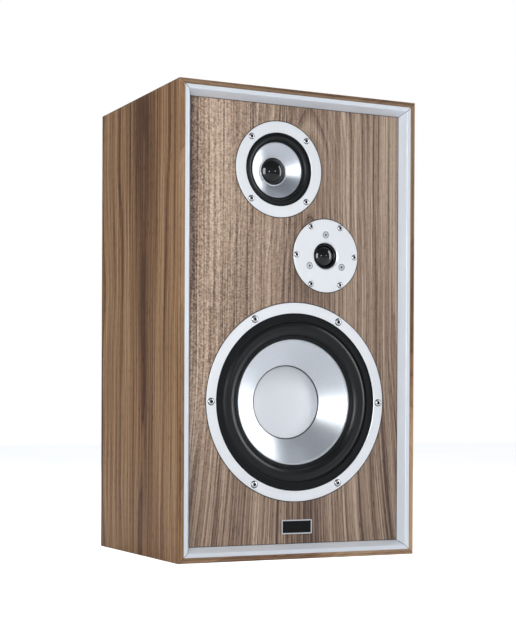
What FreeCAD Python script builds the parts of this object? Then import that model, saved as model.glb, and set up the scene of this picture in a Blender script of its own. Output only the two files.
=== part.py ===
"""Three-way sealed bookshelf loudspeaker, built as its separate pieces.

Millimetres. X runs left to right seen from the front, Y from the front to the back, Z up.
The origin is the centre of the cabinet's footprint, on the surface that it stands on.
Depths inside a driver are measured from the face of the front baffle, positive into the cabinet.
"""

import FreeCAD
import Part

import math
import os
from types import SimpleNamespace

V = FreeCAD.Vector
ALONG_Y = V(0, 1, 0)

# ---------------------------------------------------------------- cabinet
WIDTH = 340.0
HEIGHT = 600.0
DEPTH = 276.0
WALL = 18.0  # veneered board of the two sides, the top and the bottom
BAFFLE_THICKNESS = 22.0
BACK_THICKNESS = 18.0
BACK_INSET = 2.5  # the back panel sits this far inside the rear edges
RECESS = 12.0  # the baffle's face behind the front edges, and the trim's depth
FRONT_EDGE = 7.0  # wood left showing beside the trim
EDGE_RADIUS = 1.5  # outer edges of the wrap
TRIM_LIP = 5.0  # flat part of the trim, flush with the front edges
TRIM_COVER = 0.6  # how far the trim's bevel reaches over the baffle
TRIM_EDGE_RADIUS = 1.0
BODY_EDGE_SHARE = 0.9  # an edge within this share of its length along Y counts as upright
SEAM = 0.1  # glue line or slip fit between two fixed pieces

# ---------------------------------------------------------------- badge
BADGE_WIDTH = 44.0
BADGE_HEIGHT = 18.4
BADGE_ABOVE_BOTTOM = 40.5
BADGE_PLATE_THICKNESS = 1.0
BEZEL_THICKNESS = 1.8
BEZEL_WIDTH = 1.5
BADGE_CORNER = 1.2

# ---------------------------------------------------------------- drivers: shared values
RING_PROUD = 0.6  # trim rings and faceplate above the baffle's face
RING_EDGE = 0.4  # broken edges of the rings and the faceplate
REBATE_GAP = 0.4  # all round a ring in its rebate
HOLE_GAP = 0.15  # all round a screw's shank
HEAD_GAP = 0.5  # all round a screw's head in its counterbore
GLUE_WIDTH = 0.1
SOCKET_SHARE = 0.5  # size of a screw's hexagon socket beside its head
INNER_SOCKET_SHARE = 0.35
HEAD_FLAT = 0.55  # flat top of a screw's head, beside its radius
HEAD_SHOULDER = (0.9, 0.7)  # a point of the head's domed edge, beside its radius and height
SOCKET_SINK = 0.7  # depth of the socket beside the head's height
TIP_CHAMFER = 0.3  # beside the shank's radius
PAST = 1.0  # cutters run this far past the faces that they open
BASKET_GAP = 1.0  # between a driver's body and its hole in the baffle
NECK_INSET = 0.5  # the basket's neck is this much smaller than the ring's hole

# The midrange and the tweeter are held by the same screw.
SMALL_SCREW = SimpleNamespace(radius=1.9, head_radius=3.6, head_height=2.2, length=18.0, sunk=1.5)
LARGE_SCREW = SimpleNamespace(radius=2.5, head_radius=4.4, head_height=2.6, length=19.0, sunk=1.7)

WOOFER_CLEAR_BELOW = 55.0  # from the bottom board to the ring
TWEETER_CLEAR_BELOW = 14.9  # from the woofer's ring up to the tweeter's faceplate
TWEETER_RIGHT = 41.5
MID_RISE = 107.3  # from the tweeter's centre to the midrange's
MID_LEFT = 27.0

WOOFER = SimpleNamespace(
    name="woofer",
    ring_outer=128.0,
    ring_inner=114.5,
    ring_thickness=3.0,
    screw_circle=121.3,
    screws=6,
    first_screw_deg=0.0,
    screw=LARGE_SCREW,
    flange_radius=126.5,
    flange_thickness=4.5,
    gasket_rise=2.0,  # front gasket above the landing of the ring
    groove_radius=103.5,  # where the roll meets the front gasket
    cone_radius=81.0,  # what shows of the cone
    cone_land=5.0,  # flat rim of the cone under the surround
    cone_edge_depth=7.0,
    cone_slope=0.692,
    cone_thickness=1.8,
    roll_rise=7.0,
    rubber=1.2,
    cap_radius=47.2,
    cap_rise=7.0,
    cap_thickness=0.8,
    coil_radius=25.6,  # outside of the former
    former_wall=0.6,
    winding=1.0,
    coil_length=22.0,
    gap=0.8,  # air gap on each side of the coil
    spider_depth=52.0,
    spider_radius=62.0,
    spider_wave=1.6,
    waves=8,
    cloth=0.6,
    basket_wall=3.5,
    motor_depth=70.0,
    top_plate_radius=58.0,
    top_plate_thickness=8.0,
    magnet_radius=70.0,
    magnet_clearance=3.6,  # between the coil's gap and the magnet's hole
    magnet_thickness=20.0,
    yoke_radius=62.0,
    yoke_thickness=8.0,
    spokes=6,
    spoke_deg=22.0,
    first_spoke_deg=0.0,
)

MID = SimpleNamespace(
    name="mid",
    ring_outer=61.3,
    ring_inner=47.0,
    ring_thickness=3.0,
    screw_circle=55.6,
    screws=4,
    first_screw_deg=45.0,
    screw=SMALL_SCREW,
    flange_radius=60.3,
    flange_thickness=3.5,
    gasket_rise=0.0,
    groove_radius=45.2,
    cone_radius=35.4,
    cone_land=2.6,
    cone_edge_depth=5.8,
    cone_slope=0.624,
    cone_thickness=1.2,
    roll_rise=4.6,
    rubber=0.8,
    cap_radius=17.3,
    cap_rise=8.6,
    cap_thickness=0.8,
    coil_radius=13.0,
    former_wall=0.5,
    winding=0.7,
    coil_length=8.0,
    gap=0.6,
    spider_depth=24.0,
    spider_radius=27.0,
    spider_wave=1.1,
    waves=3,
    cloth=0.5,
    basket_wall=2.5,
    motor_depth=33.0,
    top_plate_radius=27.0,
    top_plate_thickness=5.0,
    magnet_radius=30.0,
    magnet_clearance=2.2,
    magnet_thickness=13.0,
    yoke_radius=28.0,
    yoke_thickness=5.0,
    spokes=4,
    spoke_deg=26.0,
    first_spoke_deg=45.0,
)

CHAMBER_WALL = 3.0  # sealed tub behind the midrange
CHAMBER_RADIUS = 58.0
CHAMBER_FLANGE = 7.0
CHAMBER_DEPTH = 62.0  # behind the baffle's back face

TWEETER = SimpleNamespace(
    name="tweeter",
    ring_outer=47.5,
    plate_thickness=4.0,
    screw_circle=42.9,
    screws=6,
    first_screw_deg=0.0,
    screw=SMALL_SCREW,
    inner_circle=27.3,
    inner_screws=3,
    inner_first_deg=90.0,
    inner_radius=2.0,
    inner_head=3.9,
    inner_length=8.0,
    mouth_radius=18.5,  # outer edge of the chamfer round the dome
    throat_radius=17.0,
    chamfer_depth=1.5,
    dome_radius=13.4,
    dome_rise=6.6,
    dome_wall=0.5,
    surround_rise=1.4,
    surround_wall=0.5,
    surround_grip=4.0,  # flange clamped between the faceplate and the top plate
    former_wall=0.3,
    winding=0.5,
    coil_length=3.4,
    former_length=6.0,
    gap=0.4,
    top_plate_radius=32.0,
    top_plate_thickness=4.0,
    magnet_radius=36.0,
    magnet_clearance=6.2,
    magnet_thickness=12.0,
    yoke_radius=34.0,
    yoke_thickness=4.0,
)

# ---------------------------------------------------------------- terminals
CUP_Z = 120.0
CUP_WIDTH = 104.0  # flange, let into the back panel
CUP_HEIGHT = 84.0
CUP_CORNER = 8.0
CUP_RECESS_WIDTH = 74.0
CUP_RECESS_HEIGHT = 54.0
CUP_RECESS_CORNER = 7.0
CUP_DEPTH = 33.0
CUP_WALL = 3.0
CUP_SCREW = SimpleNamespace(radius=1.75, head_radius=3.3, head_height=2.0, length=13.0)
CUP_SCREW_INSET = 7.0
POST_PITCH = 38.0
POST_RADIUS = 3.0
POST_BOSS_RADIUS = 11.0
POST_BOSS_HEIGHT = 3.0
POST_BOSS_TAPER = 1.0
POST_SHOULDER_RADIUS = 6.5
POST_SHOULDER = 1.5
POST_INSIDE = 12.0  # threaded end behind the cup's floor
SOCKET_RADIUS = 2.0  # plug socket in the end of the shaft
SOCKET_DEPTH = 14.0
WIRE_HOLE_RADIUS = 1.6
WIRE_HOLE_LIFT = 0.3  # above the shoulder
COLLAR_RADIUS = 7.4
COLLAR_THICKNESS = 3.0
COLLAR_EDGE = 0.4
CAP_RADIUS = 8.2
CAP_LENGTH = 18.0
CAP_EDGE = 1.0
CAP_GRIPS = 12
CAP_GRIP_RADIUS = 0.9
CAP_GRIP_START = 3.0
CAP_MOUTH_RADIUS = 5.0
CAP_MOUTH_DEPTH = 2.5
CAP_MOUTH_TAPER = 1.0
GRIP_REACH = 0.33  # how far a grip groove's centre is outside the cap, beside the groove's radius
THREAD_FIT = 0.08  # radial clearance of cap and nut on the shaft
COLLAR_FIT = 0.2  # the collar slides loosely
STACK_GAP = 0.05  # between shoulder, collar and cap when screwed down
NUT_ACROSS_FLATS = 10.0
NUT_THICKNESS = 4.0

# ---------------------------------------------------------------- crossover
BOARD_WIDTH = 160.0
BOARD_HEIGHT = 100.0
BOARD_THICKNESS = 1.6
BOARD_ABOVE_CUP = 20.0
SPACER_HEIGHT = 8.0
SPACER_RADIUS = 3.5
SPACER_INSET = 7.0
COILS = [(-50.0, 14.0, 24.0, 16.0), (8.0, 22.0, 18.0, 14.0), (54.0, 24.0, 15.0, 12.0)]
COIL_HOLE_SHARE = 0.5
CAPACITORS = [(-14.0, -30.0, 8.0, 34.0), (28.0, -12.0, 7.0, 30.0), (28.0, -32.0, 9.0, 36.0)]
RESISTORS = [(62.0, -8.0), (62.0, -22.0), (62.0, -36.0)]
RESISTOR_SIZE = (22.0, 8.0, 8.0)
PART_GAP = 0.2  # components above the board
CAN_EDGE = 1.2  # rounded ends of the capacitors
BOARD_MARGIN = 5.0  # from its top and bottom edges to where the leads end

# ---------------------------------------------------------------- lining and wiring
PAD_THICKNESS = 25.0
PAD_MARGIN = 12.0
PAD_GAP = 0.5
LEAD_RADIUS = 1.4
LEAD_SPACING = 8.0
LEAD_TOUCH = 0.1
ARC_SHARE = 0.45  # of the shorter run beside it that a lead's bend takes up
VOLUME_SLACK = 0.02  # allowed between a lead's volume and its section times its length
POST_LEAD_LOOP = 36.0  # how far the posts' leads stand off before they rise

WIRE_GLUE = 0.04  # varnish between a winding and its former
FORMER_LIP = 2.0  # how far a former stands in front of the cone's neck
FORMER_END = 1.0  # bare former beyond the winding
SPIDER_HUB = 1.5  # flat part of a spider on its former
SPIDER_RIM = 4.0  # flat part of a spider on its ledge
LANDING = 2.0  # the basket's landing reaches this far inside the roll's outer edge
BORE_GAP = 1.0  # between the top plate's hole and the basket's
LEDGE_STEP = 1.0  # small steps beside the basket's ledge and flange
POLE_SETBACK = 1.0  # the tweeter's pole ends this far behind its top plate's face
GASKET_GAP = 1.0  # between the roll and the front gasket
GASKET_EDGE = 0.8  # rounding of its inner edge
ARC_MIDDLE = 1 - math.sqrt(0.5)  # how far a quarter round's middle is from its corner's two sides
GASKET_FALL = 0.3  # its top slopes down by this much
MOTOR_EDGE = 1.5  # broken edges of magnets and yokes
VENT_SHARE = 0.35  # vent through a pole beside the pole itself
STRIP_WIDTH = 18.0  # tag strip on each driver
STRIP_LENGTH = 7.0
STRIP_HEIGHT = 8.0
STRIP_SETBACK = 0.5
STRIP_TAG_SHARE = 0.75  # height of the tags on the strip
TWEETER_STRIP_RISE = 8.0
TINSEL_RADIUS = 0.7
TINSEL_DROP = 2.6  # in front of the basket's solid ring
TINSEL_SAG = 1.2
TINSEL_FOOT = 0.24  # distance from the former to the tinsel's end, beside the former's radius
TINSEL_END_RUN = 0.16

# ---------------------------------------------------------------- derived places
FRONT = -DEPTH / 2
FACE = FRONT + RECESS  # the baffle's face
BACK_OUT = DEPTH / 2 - BACK_INSET  # the back panel's outer face
BACK_IN = BACK_OUT - BACK_THICKNESS
WOOFER.x = 0.0
WOOFER.z = WALL + WOOFER_CLEAR_BELOW + WOOFER.ring_outer
TWEETER.x = TWEETER_RIGHT
TWEETER.z = WOOFER.z + WOOFER.ring_outer + TWEETER_CLEAR_BELOW + TWEETER.ring_outer
MID.x = -MID_LEFT
MID.z = TWEETER.z + MID_RISE


# ================================================================ geometry helpers
def closed_face(edges):
    """A flat face bounded by these edges, which follow each other."""
    return Part.Face(Part.Wire(edges))


def corner_arc(before, corner, after, cut):
    """The tangent arc across a corner, which starts and ends this far from it."""
    back, ahead = before - corner, after - corner
    turn = math.pi - back.getAngle(ahead)
    bend = cut / math.tan(turn / 2)
    back.normalize()
    ahead.normalize()
    inward = back + ahead
    inward.normalize()
    middle = corner + inward * (math.hypot(bend, cut) - bend)
    return Part.Arc(corner + back * cut, middle, corner + ahead * cut).toShape()


def rounded_outline(corners, cuts):
    """A flat face through these corners, where the ones numbered in cuts are rounded by that much."""
    count = len(corners)
    arcs = {
        n: corner_arc(corners[n - 1], corners[n], corners[(n + 1) % count], cut)
        for n, cut in cuts.items()
    }
    edges = []
    for n in range(count):
        after = (n + 1) % count
        if n in arcs:
            edges.append(arcs[n])
        start = arcs[n].Vertexes[-1].Point if n in arcs else corners[n]
        end = arcs[after].Vertexes[0].Point if after in arcs else corners[after]
        edges.append(Part.makeLine(start, end))
    return closed_face(edges)


def polygon(points):
    """A flat face with straight sides through these points."""
    return Part.Face(Part.makePolygon(list(points) + [points[0]]))


def turned(driver, outline):
    """Turns an outline of (radius, depth) corners about the driver's axis."""
    points = [V(driver.x + r, FACE + s, driver.z) for r, s in outline]
    return polygon(points).revolve(V(driver.x, FACE, driver.z), ALONG_Y, 360)


def turned_edges(driver, pieces):
    """As turned(), from pieces that are lines of 2 points or arcs of 3 points, as (radius, depth)."""
    edges = []
    for piece in pieces:
        p = [V(driver.x + r, FACE + s, driver.z) for r, s in piece]
        edges.append(Part.makeLine(*p) if len(p) == 2 else Part.Arc(*p).toShape())
    return closed_face(edges).revolve(V(driver.x, FACE, driver.z), ALONG_Y, 360)


def rod(x, z, radius, y_from, y_to):
    """A round rod along Y."""
    return Part.makeCylinder(radius, y_to - y_from, V(x, y_from, z), ALONG_Y)


def block(x_from, x_to, y_from, y_to, z_from, z_to):
    """A box between two corners."""
    size = (x_to - x_from, y_to - y_from, z_to - z_from)
    return Part.makeBox(*size, V(x_from, y_from, z_from))


def ring_places(driver, radius, count, first_deg):
    """The (x, z) of holes spaced evenly round a driver."""
    for n in range(count):
        a = math.radians(first_deg + 360.0 * n / count)
        yield driver.x + radius * math.cos(a), driver.z + radius * math.sin(a)


def screw_places(driver):
    return list(ring_places(driver, driver.screw_circle, driver.screws, driver.first_screw_deg))


def upright_edges(solid):
    """The straight edges that run along Y."""
    return [
        e
        for e in solid.Edges
        if len(e.Vertexes) == 2
        and abs(e.Vertexes[0].Y - e.Vertexes[1].Y) > BODY_EDGE_SHARE * e.Length
        and e.Length > 0
    ]


def circles(solid, radius):
    """The circular edges of this radius."""
    return [
        e for e in solid.Edges if hasattr(e.Curve, "Radius") and math.isclose(e.Curve.Radius, radius)
    ]


def hexagon(x, y, z, radius):
    """A six-sided face across Y, its corners on this radius."""
    angles = [math.radians(a) for a in range(0, 360, 60)]
    return polygon([V(x + radius * math.cos(a), y, z + radius * math.sin(a)) for a in angles])


def rounded_plate(width, height, corner, x, z, y_from, y_to):
    """An upright plate with rounded corners, centred on (x, z)."""
    plate = block(x - width / 2, x + width / 2, y_from, y_to, z - height / 2, z + height / 2)
    return plate.makeFillet(corner, upright_edges(plate))


def socket_screw(screw):
    """A hexagon-socket screw with a domed head, whose shank runs from the origin along +Y."""
    r, h = screw.head_radius, screw.head_height
    flat = HEAD_FLAT * r
    shoulder = V(HEAD_SHOULDER[0] * r, -HEAD_SHOULDER[1] * h, 0)
    head = closed_face(
        [
            Part.makeLine(V(0, 0, 0), V(r, 0, 0)),
            Part.Arc(V(r, 0, 0), shoulder, V(flat, -h, 0)).toShape(),
            Part.makeLine(V(flat, -h, 0), V(0, -h, 0)),
            Part.makeLine(V(0, -h, 0), V(0, 0, 0)),
        ]
    ).revolve(V(0, 0, 0), ALONG_Y, 360)
    shank = rod(0, 0, screw.radius, 0, screw.length)
    shank = shank.makeChamfer(TIP_CHAMFER * screw.radius, circles(shank, screw.radius)[-1:])
    socket = hexagon(0, -h, 0, SOCKET_SHARE * r).extrude(V(0, SOCKET_SINK * h, 0))
    return head.fuse(shank).removeSplitter().cut(socket)


def placed_screw(screw, x, seat_y, z, outward=-1):
    """The screw with its head's underside at seat_y; outward is the way the head faces along Y."""
    solid = socket_screw(screw)
    if outward > 0:
        solid.rotate(V(0, 0, 0), V(0, 0, 1), 180)
    solid.translate(V(x, seat_y, z))
    return solid


def group(shapes):
    """Separate solids that share one node."""
    return Part.makeCompound([s for shape in shapes for s in shape.Solids])


# ================================================================ cabinet
def mitred(profile, length):
    """Extrudes a (distance from the outer face, depth) profile upwards and mitres both ends."""
    bar = profile.extrude(V(0, 0, length))
    reach = WALL + TRIM_COVER
    keep = polygon(
        [
            V(0, FRONT - PAST, 0),
            V(0, FRONT - PAST, length),
            V(reach, FRONT - PAST, length - reach),
            V(reach, FRONT - PAST, reach),
        ]
    ).extrude(V(0, DEPTH + 2 * PAST, 0))
    return bar.common(keep)


def on_four_sides(profile):
    """Mitred copies of one profile on the left, right, bottom and top of the cabinet."""
    left = mitred(profile, HEIGHT)
    left.translate(V(-WIDTH / 2, 0, 0))
    bottom = mitred(profile, WIDTH)
    bottom.rotate(V(0, 0, 0), ALONG_Y, -90)
    bottom.translate(V(WIDTH / 2, 0, 0))
    right = left.mirror(V(0, 0, 0), V(1, 0, 0))
    top = bottom.mirror(V(0, 0, HEIGHT / 2), V(0, 0, 1))
    return {"left": left, "right": right, "bottom": bottom, "top": top}


def wrap_panels():
    """The sides, top and bottom: one moulded section with a rebate for the trim, mitred at the corners."""
    rear = FRONT + DEPTH
    corners = [
        V(0, FRONT, 0),
        V(FRONT_EDGE, FRONT, 0),
        V(FRONT_EDGE, FACE, 0),
        V(WALL, FACE, 0),
        V(WALL, rear, 0),
        V(0, rear, 0),
    ]
    return on_four_sides(rounded_outline(corners, {0: EDGE_RADIUS, 5: EDGE_RADIUS}))


def trim_bars():
    """Bevelled metal bars round the baffle, flush with the front edges and mitred at the corners."""
    inner = WALL + TRIM_COVER
    outer = FRONT_EDGE + SEAM / 2
    back = FACE - SEAM / 2
    corners = [
        V(outer, FRONT, 0),
        V(FRONT_EDGE + TRIM_LIP, FRONT, 0),
        V(inner, back, 0),
        V(outer, back, 0),
    ]
    return on_four_sides(rounded_outline(corners, {1: TRIM_EDGE_RADIUS}))


def front_baffle():
    """The board that carries the drivers, with a rebate and a hole for each, and their screw holes."""
    half = WIDTH / 2 - WALL - SEAM
    board = block(
        -half, half, FACE, FACE + BAFFLE_THICKNESS, WALL + SEAM, HEIGHT - WALL - SEAM
    )
    board_back = FACE + BAFFLE_THICKNESS
    cuts = []
    for driver in (WOOFER, MID):
        seat = driver_seat(driver)
        cuts.append(
            rod(driver.x, driver.z, driver.ring_outer + REBATE_GAP, FACE - PAST, FACE + seat)
        )
        cuts.append(
            rod(driver.x, driver.z, basket_neck(driver) + BASKET_GAP, FACE - PAST, board_back + PAST)
        )
    seat = tweeter_back(TWEETER)
    cuts.append(rod(TWEETER.x, TWEETER.z, TWEETER.ring_outer + REBATE_GAP, FACE - PAST, FACE + seat))
    body = max(TWEETER.magnet_radius, TWEETER.yoke_radius) + BASKET_GAP
    cuts.append(rod(TWEETER.x, TWEETER.z, body, FACE - PAST, FACE + BAFFLE_THICKNESS + PAST))
    for driver in (WOOFER, MID, TWEETER):
        tip = screw_seat(driver) + driver.screw.length + PAST
        for x, z in screw_places(driver):
            cuts.append(rod(x, z, driver.screw.radius + HOLE_GAP, FACE - PAST, FACE + tip))
    return board.cut(Part.makeCompound(cuts))


def back_panel():
    """The rear board, with the opening for the terminal cup and a rebate for its flange."""
    half = WIDTH / 2 - WALL - SEAM
    board = block(-half, half, BACK_IN, BACK_OUT, WALL + SEAM, HEIGHT - WALL - SEAM)
    flange = 2 * SEAM
    rebate = rounded_plate(
        CUP_WIDTH + flange, CUP_HEIGHT + flange, CUP_CORNER, 0, CUP_Z, BACK_OUT - CUP_WALL, BACK_OUT + PAST
    )
    grow = 2 * (CUP_WALL + SEAM)
    opening = rounded_plate(
        CUP_RECESS_WIDTH + grow,
        CUP_RECESS_HEIGHT + grow,
        CUP_RECESS_CORNER + CUP_WALL,
        0,
        CUP_Z,
        BACK_IN - PAST,
        BACK_OUT + PAST,
    )
    holes = [
        rod(x, z, CUP_SCREW.radius + HOLE_GAP, BACK_IN - PAST, BACK_OUT + PAST)
        for x, z in cup_screw_places()
    ]
    return board.cut(Part.makeCompound([rebate, opening] + holes))


def badge():
    """A small dark plate in a bright raised frame, with no lettering."""
    w, h, z = BADGE_WIDTH, BADGE_HEIGHT, BADGE_ABOVE_BOTTOM
    inner_w, inner_h = w - 2 * BEZEL_WIDTH, h - 2 * BEZEL_WIDTH
    outer = rounded_plate(w, h, BADGE_CORNER, 0, z, FACE - BEZEL_THICKNESS, FACE)
    hole = block(
        -inner_w / 2, inner_w / 2, FACE - BEZEL_THICKNESS - PAST, FACE + PAST, z - inner_h / 2, z + inner_h / 2
    )
    fit = SEAM / 2
    plate = block(
        -inner_w / 2 + fit,
        inner_w / 2 - fit,
        FACE - BADGE_PLATE_THICKNESS,
        FACE,
        z - inner_h / 2 + fit,
        z + inner_h / 2 - fit,
    )
    return {"badge_bezel": outer.cut(hole), "badge_plate": plate}


def damping_pads():
    """Wadding on the two side walls and on the upper back wall."""
    side = WIDTH / 2 - WALL - PAD_GAP
    y_from = FACE + BAFFLE_THICKNESS + PAD_MARGIN
    y_to = BACK_IN - PAD_MARGIN - PAD_THICKNESS
    z_from, z_to = WALL + PAD_MARGIN, HEIGHT - WALL - PAD_MARGIN
    pads = [
        block(-side, -side + PAD_THICKNESS, y_from, y_to, z_from, z_to),
        block(side - PAD_THICKNESS, side, y_from, y_to, z_from, z_to),
    ]
    board_top = board_centre_z() + BOARD_HEIGHT / 2
    pads.append(
        block(
            -side + PAD_THICKNESS + PAD_MARGIN,
            side - PAD_THICKNESS - PAD_MARGIN,
            BACK_IN - PAD_GAP - PAD_THICKNESS,
            BACK_IN - PAD_GAP,
            board_top + PAD_MARGIN,
            z_to,
        )
    )
    return group(pads)


# ================================================================ cone drivers
def ring_back(d):
    """Depth of the trim ring's back face, on which the basket's flange starts."""
    return d.ring_thickness - RING_PROUD


def driver_seat(d):
    """Depth of the rebate's floor, under the basket's flange."""
    return ring_back(d) + d.flange_thickness


def screw_seat(d):
    """Depth of the counterbore's floor, on which a mounting screw's head rests."""
    return -RING_PROUD + d.screw.sunk


def basket_neck(d):
    """Outer radius of the basket where it passes the baffle."""
    return d.ring_inner - NECK_INSET


def land_depth(d):
    """Depth of the basket's landing for the surround, whose flange ends level with the ring's back."""
    return ring_back(d) + d.rubber


def cone_depth(d, r):
    """Depth of the cone's front surface at a radius."""
    return d.cone_edge_depth + (d.cone_radius - r) * d.cone_slope


def shell_cap(d, radius, rise, wall, base, inner_base, skirt=0.0):
    """A shell between two spheres about one centre, whose rim rests at base outside, inner_base inside."""
    ball = (radius**2 + rise**2) / (2 * rise)
    crest = base - rise
    inner = radius - wall

    def depth(r, thickness):
        return crest + ball - math.sqrt((ball - thickness) ** 2 - r**2)

    pieces = [[(0, crest), (radius / 2, depth(radius / 2, 0)), (radius, base)]]
    if skirt:
        pieces.append([(radius, base), (radius, base + skirt)])
    pieces += [
        [(radius, base + skirt), (inner, inner_base)],
        [(inner, inner_base), (inner, depth(inner, wall))],
        [(inner, depth(inner, wall)), (inner / 2, depth(inner / 2, wall)), (0, crest + wall)],
        [(0, crest + wall), (0, crest)],
    ]
    return turned_edges(d, pieces)


def trim_ring(d):
    """The bright ring over the basket's flange, with its counterbored holes and broken edges."""
    back, front, edge = ring_back(d), -RING_PROUD, RING_EDGE
    ring = turned(
        d,
        [
            (d.ring_inner, front + edge),
            (d.ring_inner + edge, front),
            (d.ring_outer - edge, front),
            (d.ring_outer, front + edge),
            (d.ring_outer, back),
            (d.ring_inner, back),
        ],
    )
    return ring.cut(mounting_holes(d))


def mounting_holes(d):
    """Clearance holes for the mounting screws, with a counterbore down to the seat of the head."""
    holes = []
    for x, z in screw_places(d):
        seat = FACE + screw_seat(d)
        holes.append(rod(x, z, d.screw.radius + HOLE_GAP, seat - PAST, seat + d.screw.length))
        holes.append(rod(x, z, d.screw.head_radius + HEAD_GAP, seat - d.screw.length, seat))
    return Part.makeCompound(holes)


def mounting_screws(d):
    return [placed_screw(d.screw, x, FACE + screw_seat(d), z) for x, z in screw_places(d)]


def front_gasket(d):
    """The broad soft ring that holds the surround's outer flange down on the basket."""
    bottom = ring_back(d)
    top = bottom - d.gasket_rise
    inner, outer = d.groove_radius + GASKET_GAP, d.ring_inner - GLUE_WIDTH
    soft, bend = GASKET_EDGE, GASKET_EDGE * ARC_MIDDLE
    return turned_edges(
        d,
        [
            [(inner, bottom), (inner, top + soft)],
            [(inner, top + soft), (inner + bend, top + bend), (inner + soft, top)],
            [(inner + soft, top), (outer, top + GASKET_FALL)],
            [(outer, top + GASKET_FALL), (outer, bottom)],
            [(outer, bottom), (inner, bottom)],
        ],
    )


def surround(d):
    """Rubber half roll between the cone's rim and the basket's landing."""
    t = d.rubber
    low = d.cone_edge_depth  # the inner flange lies on the cone's rim
    high = land_depth(d)  # the outer flange lies on the basket's landing
    roll_in = d.cone_radius + d.cone_land
    roll_out = d.groove_radius
    crest_r = (roll_in + roll_out) / 2
    crest = low - d.roll_rise
    outer = d.ring_inner - GLUE_WIDTH
    return turned_edges(
        d,
        [
            [(d.cone_radius, low), (d.cone_radius, low - t)],
            [(d.cone_radius, low - t), (roll_in, low - t)],
            [(roll_in, low - t), (crest_r, crest), (roll_out, high - t)],
            [(roll_out, high - t), (outer, high - t)],
            [(outer, high - t), (outer, high)],
            [(outer, high), (roll_out - t, high)],
            [(roll_out - t, high), (crest_r, crest + t), (roll_in + t, low)],
            [(roll_in + t, low), (d.cone_radius, low)],
        ],
    )


def cone(d):
    """Conical diaphragm with a flat rim for the surround and a neck for the coil's former."""
    axial = d.cone_thickness * math.hypot(1, d.cone_slope)
    neck = d.coil_radius + GLUE_WIDTH
    rim = d.cone_radius + d.cone_land
    edge = d.cone_edge_depth
    back_bend = d.cone_radius + (axial - d.cone_thickness) / d.cone_slope
    return turned(
        d,
        [
            (neck, cone_depth(d, neck)),
            (d.cone_radius, edge),
            (rim, edge),
            (rim, edge + d.cone_thickness),
            (back_bend, edge + d.cone_thickness),
            (neck, cone_depth(d, neck) + axial),
        ],
    )


def dust_cap(d):
    """Shallow domed cap standing on the cone's front surface."""
    inner = d.cap_radius - d.cap_thickness
    return shell_cap(
        d, d.cap_radius, d.cap_rise, d.cap_thickness, cone_depth(d, d.cap_radius), cone_depth(d, inner)
    )


def spider(d):
    """Corrugated cloth disc that centres the coil, from the former to the basket's ledge."""
    inner, outer = d.coil_radius + GLUE_WIDTH, d.spider_radius
    start, end = inner + SPIDER_HUB, outer - SPIDER_RIM
    pitch = (end - start) / d.waves
    top = []
    for n in range(d.waves):
        a, b = start + n * pitch, start + (n + 1) * pitch
        swing = d.spider_wave if n % 2 == 0 else -d.spider_wave
        top.append([(a, 0.0), ((a + b) / 2, -swing), (b, 0.0)])
    front = [[(inner, 0.0), (start, 0.0)]] + top + [[(end, 0.0), (outer, 0.0)]]
    shift = d.spider_depth
    pieces = [[(r, s + shift) for r, s in piece] for piece in front]
    pieces.append([(outer, shift), (outer, shift + d.cloth)])
    back = [[(r, s + shift + d.cloth) for r, s in reversed(piece)] for piece in reversed(front)]
    pieces += back
    pieces.append([(inner, shift + d.cloth), (inner, shift)])
    return turned_edges(d, pieces)


def basket(d):
    """Cast frame: flange, sloping spokes, a ledge for the spider and a back ring for the motor."""
    flange_back = driver_seat(d)
    neck = basket_neck(d)
    ledge = ledge_depth(d)
    foot = basket_foot(d)
    w = d.basket_wall
    bore = d.coil_radius + d.winding + d.gap + BORE_GAP
    shell = turned(
        d,
        [
            (d.groove_radius - LANDING, land_depth(d)),
            (d.ring_inner, land_depth(d)),
            (d.ring_inner, ring_back(d)),
            (d.flange_radius, ring_back(d)),
            (d.flange_radius, flange_back),
            (neck, flange_back),
            (foot, ledge),
            (foot, d.motor_depth),
            (bore, d.motor_depth),
            (bore, d.motor_depth - w),
            (foot - w, d.motor_depth - w),
            (foot - w, ledge + w),
            (foot - w - SPIDER_RIM, ledge + w),
            (foot - w - SPIDER_RIM, ledge),
            (foot - w, ledge),
            (foot - w, ledge - LEDGE_STEP),
            (neck - w - LEDGE_STEP, flange_back),
            (d.groove_radius - LANDING, flange_back),
        ],
    )
    first, last = flange_back + w, ledge - w
    window = polygon(
        [
            V(d.x + foot - w, FACE + last, d.z),
            V(d.x + neck + 2 * PAST, FACE + last, d.z),
            V(d.x + neck + 2 * PAST, FACE + first, d.z),
            V(d.x + foot - w, FACE + first, d.z),
        ]
    )
    axis_point = V(d.x, FACE, d.z)
    step = 360.0 / d.spokes
    cutters = []
    for n in range(d.spokes):
        cutter = window.revolve(axis_point, ALONG_Y, step - d.spoke_deg)
        cutter.rotate(axis_point, ALONG_Y, d.first_spoke_deg + n * step + d.spoke_deg / 2)
        cutters.append(cutter)
    cutters.append(mounting_holes(d))
    return shell.cut(Part.makeCompound(cutters))


def voice_coil(d):
    """The thin former and the wire wound on its far end."""
    outside, inside = d.coil_radius, d.coil_radius - d.former_wall
    middle = d.motor_depth + d.top_plate_thickness / 2
    first, last = middle - d.coil_length / 2, middle + d.coil_length / 2
    start = cone_depth(d, outside) - FORMER_LIP
    end = last + FORMER_END
    former = turned(d, [(inside, start), (outside, start), (outside, end), (inside, end)])
    wire_in, wire_out = outside + WIRE_GLUE, outside + d.winding
    winding = turned(d, [(wire_in, first), (wire_out, first), (wire_out, last), (wire_in, last)])
    return group([former, winding])


def top_plate(d):
    inner = d.coil_radius + d.winding + d.gap
    a, b = d.motor_depth, d.motor_depth + d.top_plate_thickness
    r = d.top_plate_radius
    return turned(d, [(inner, a), (r, a), (r, b), (inner, b)])


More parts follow.
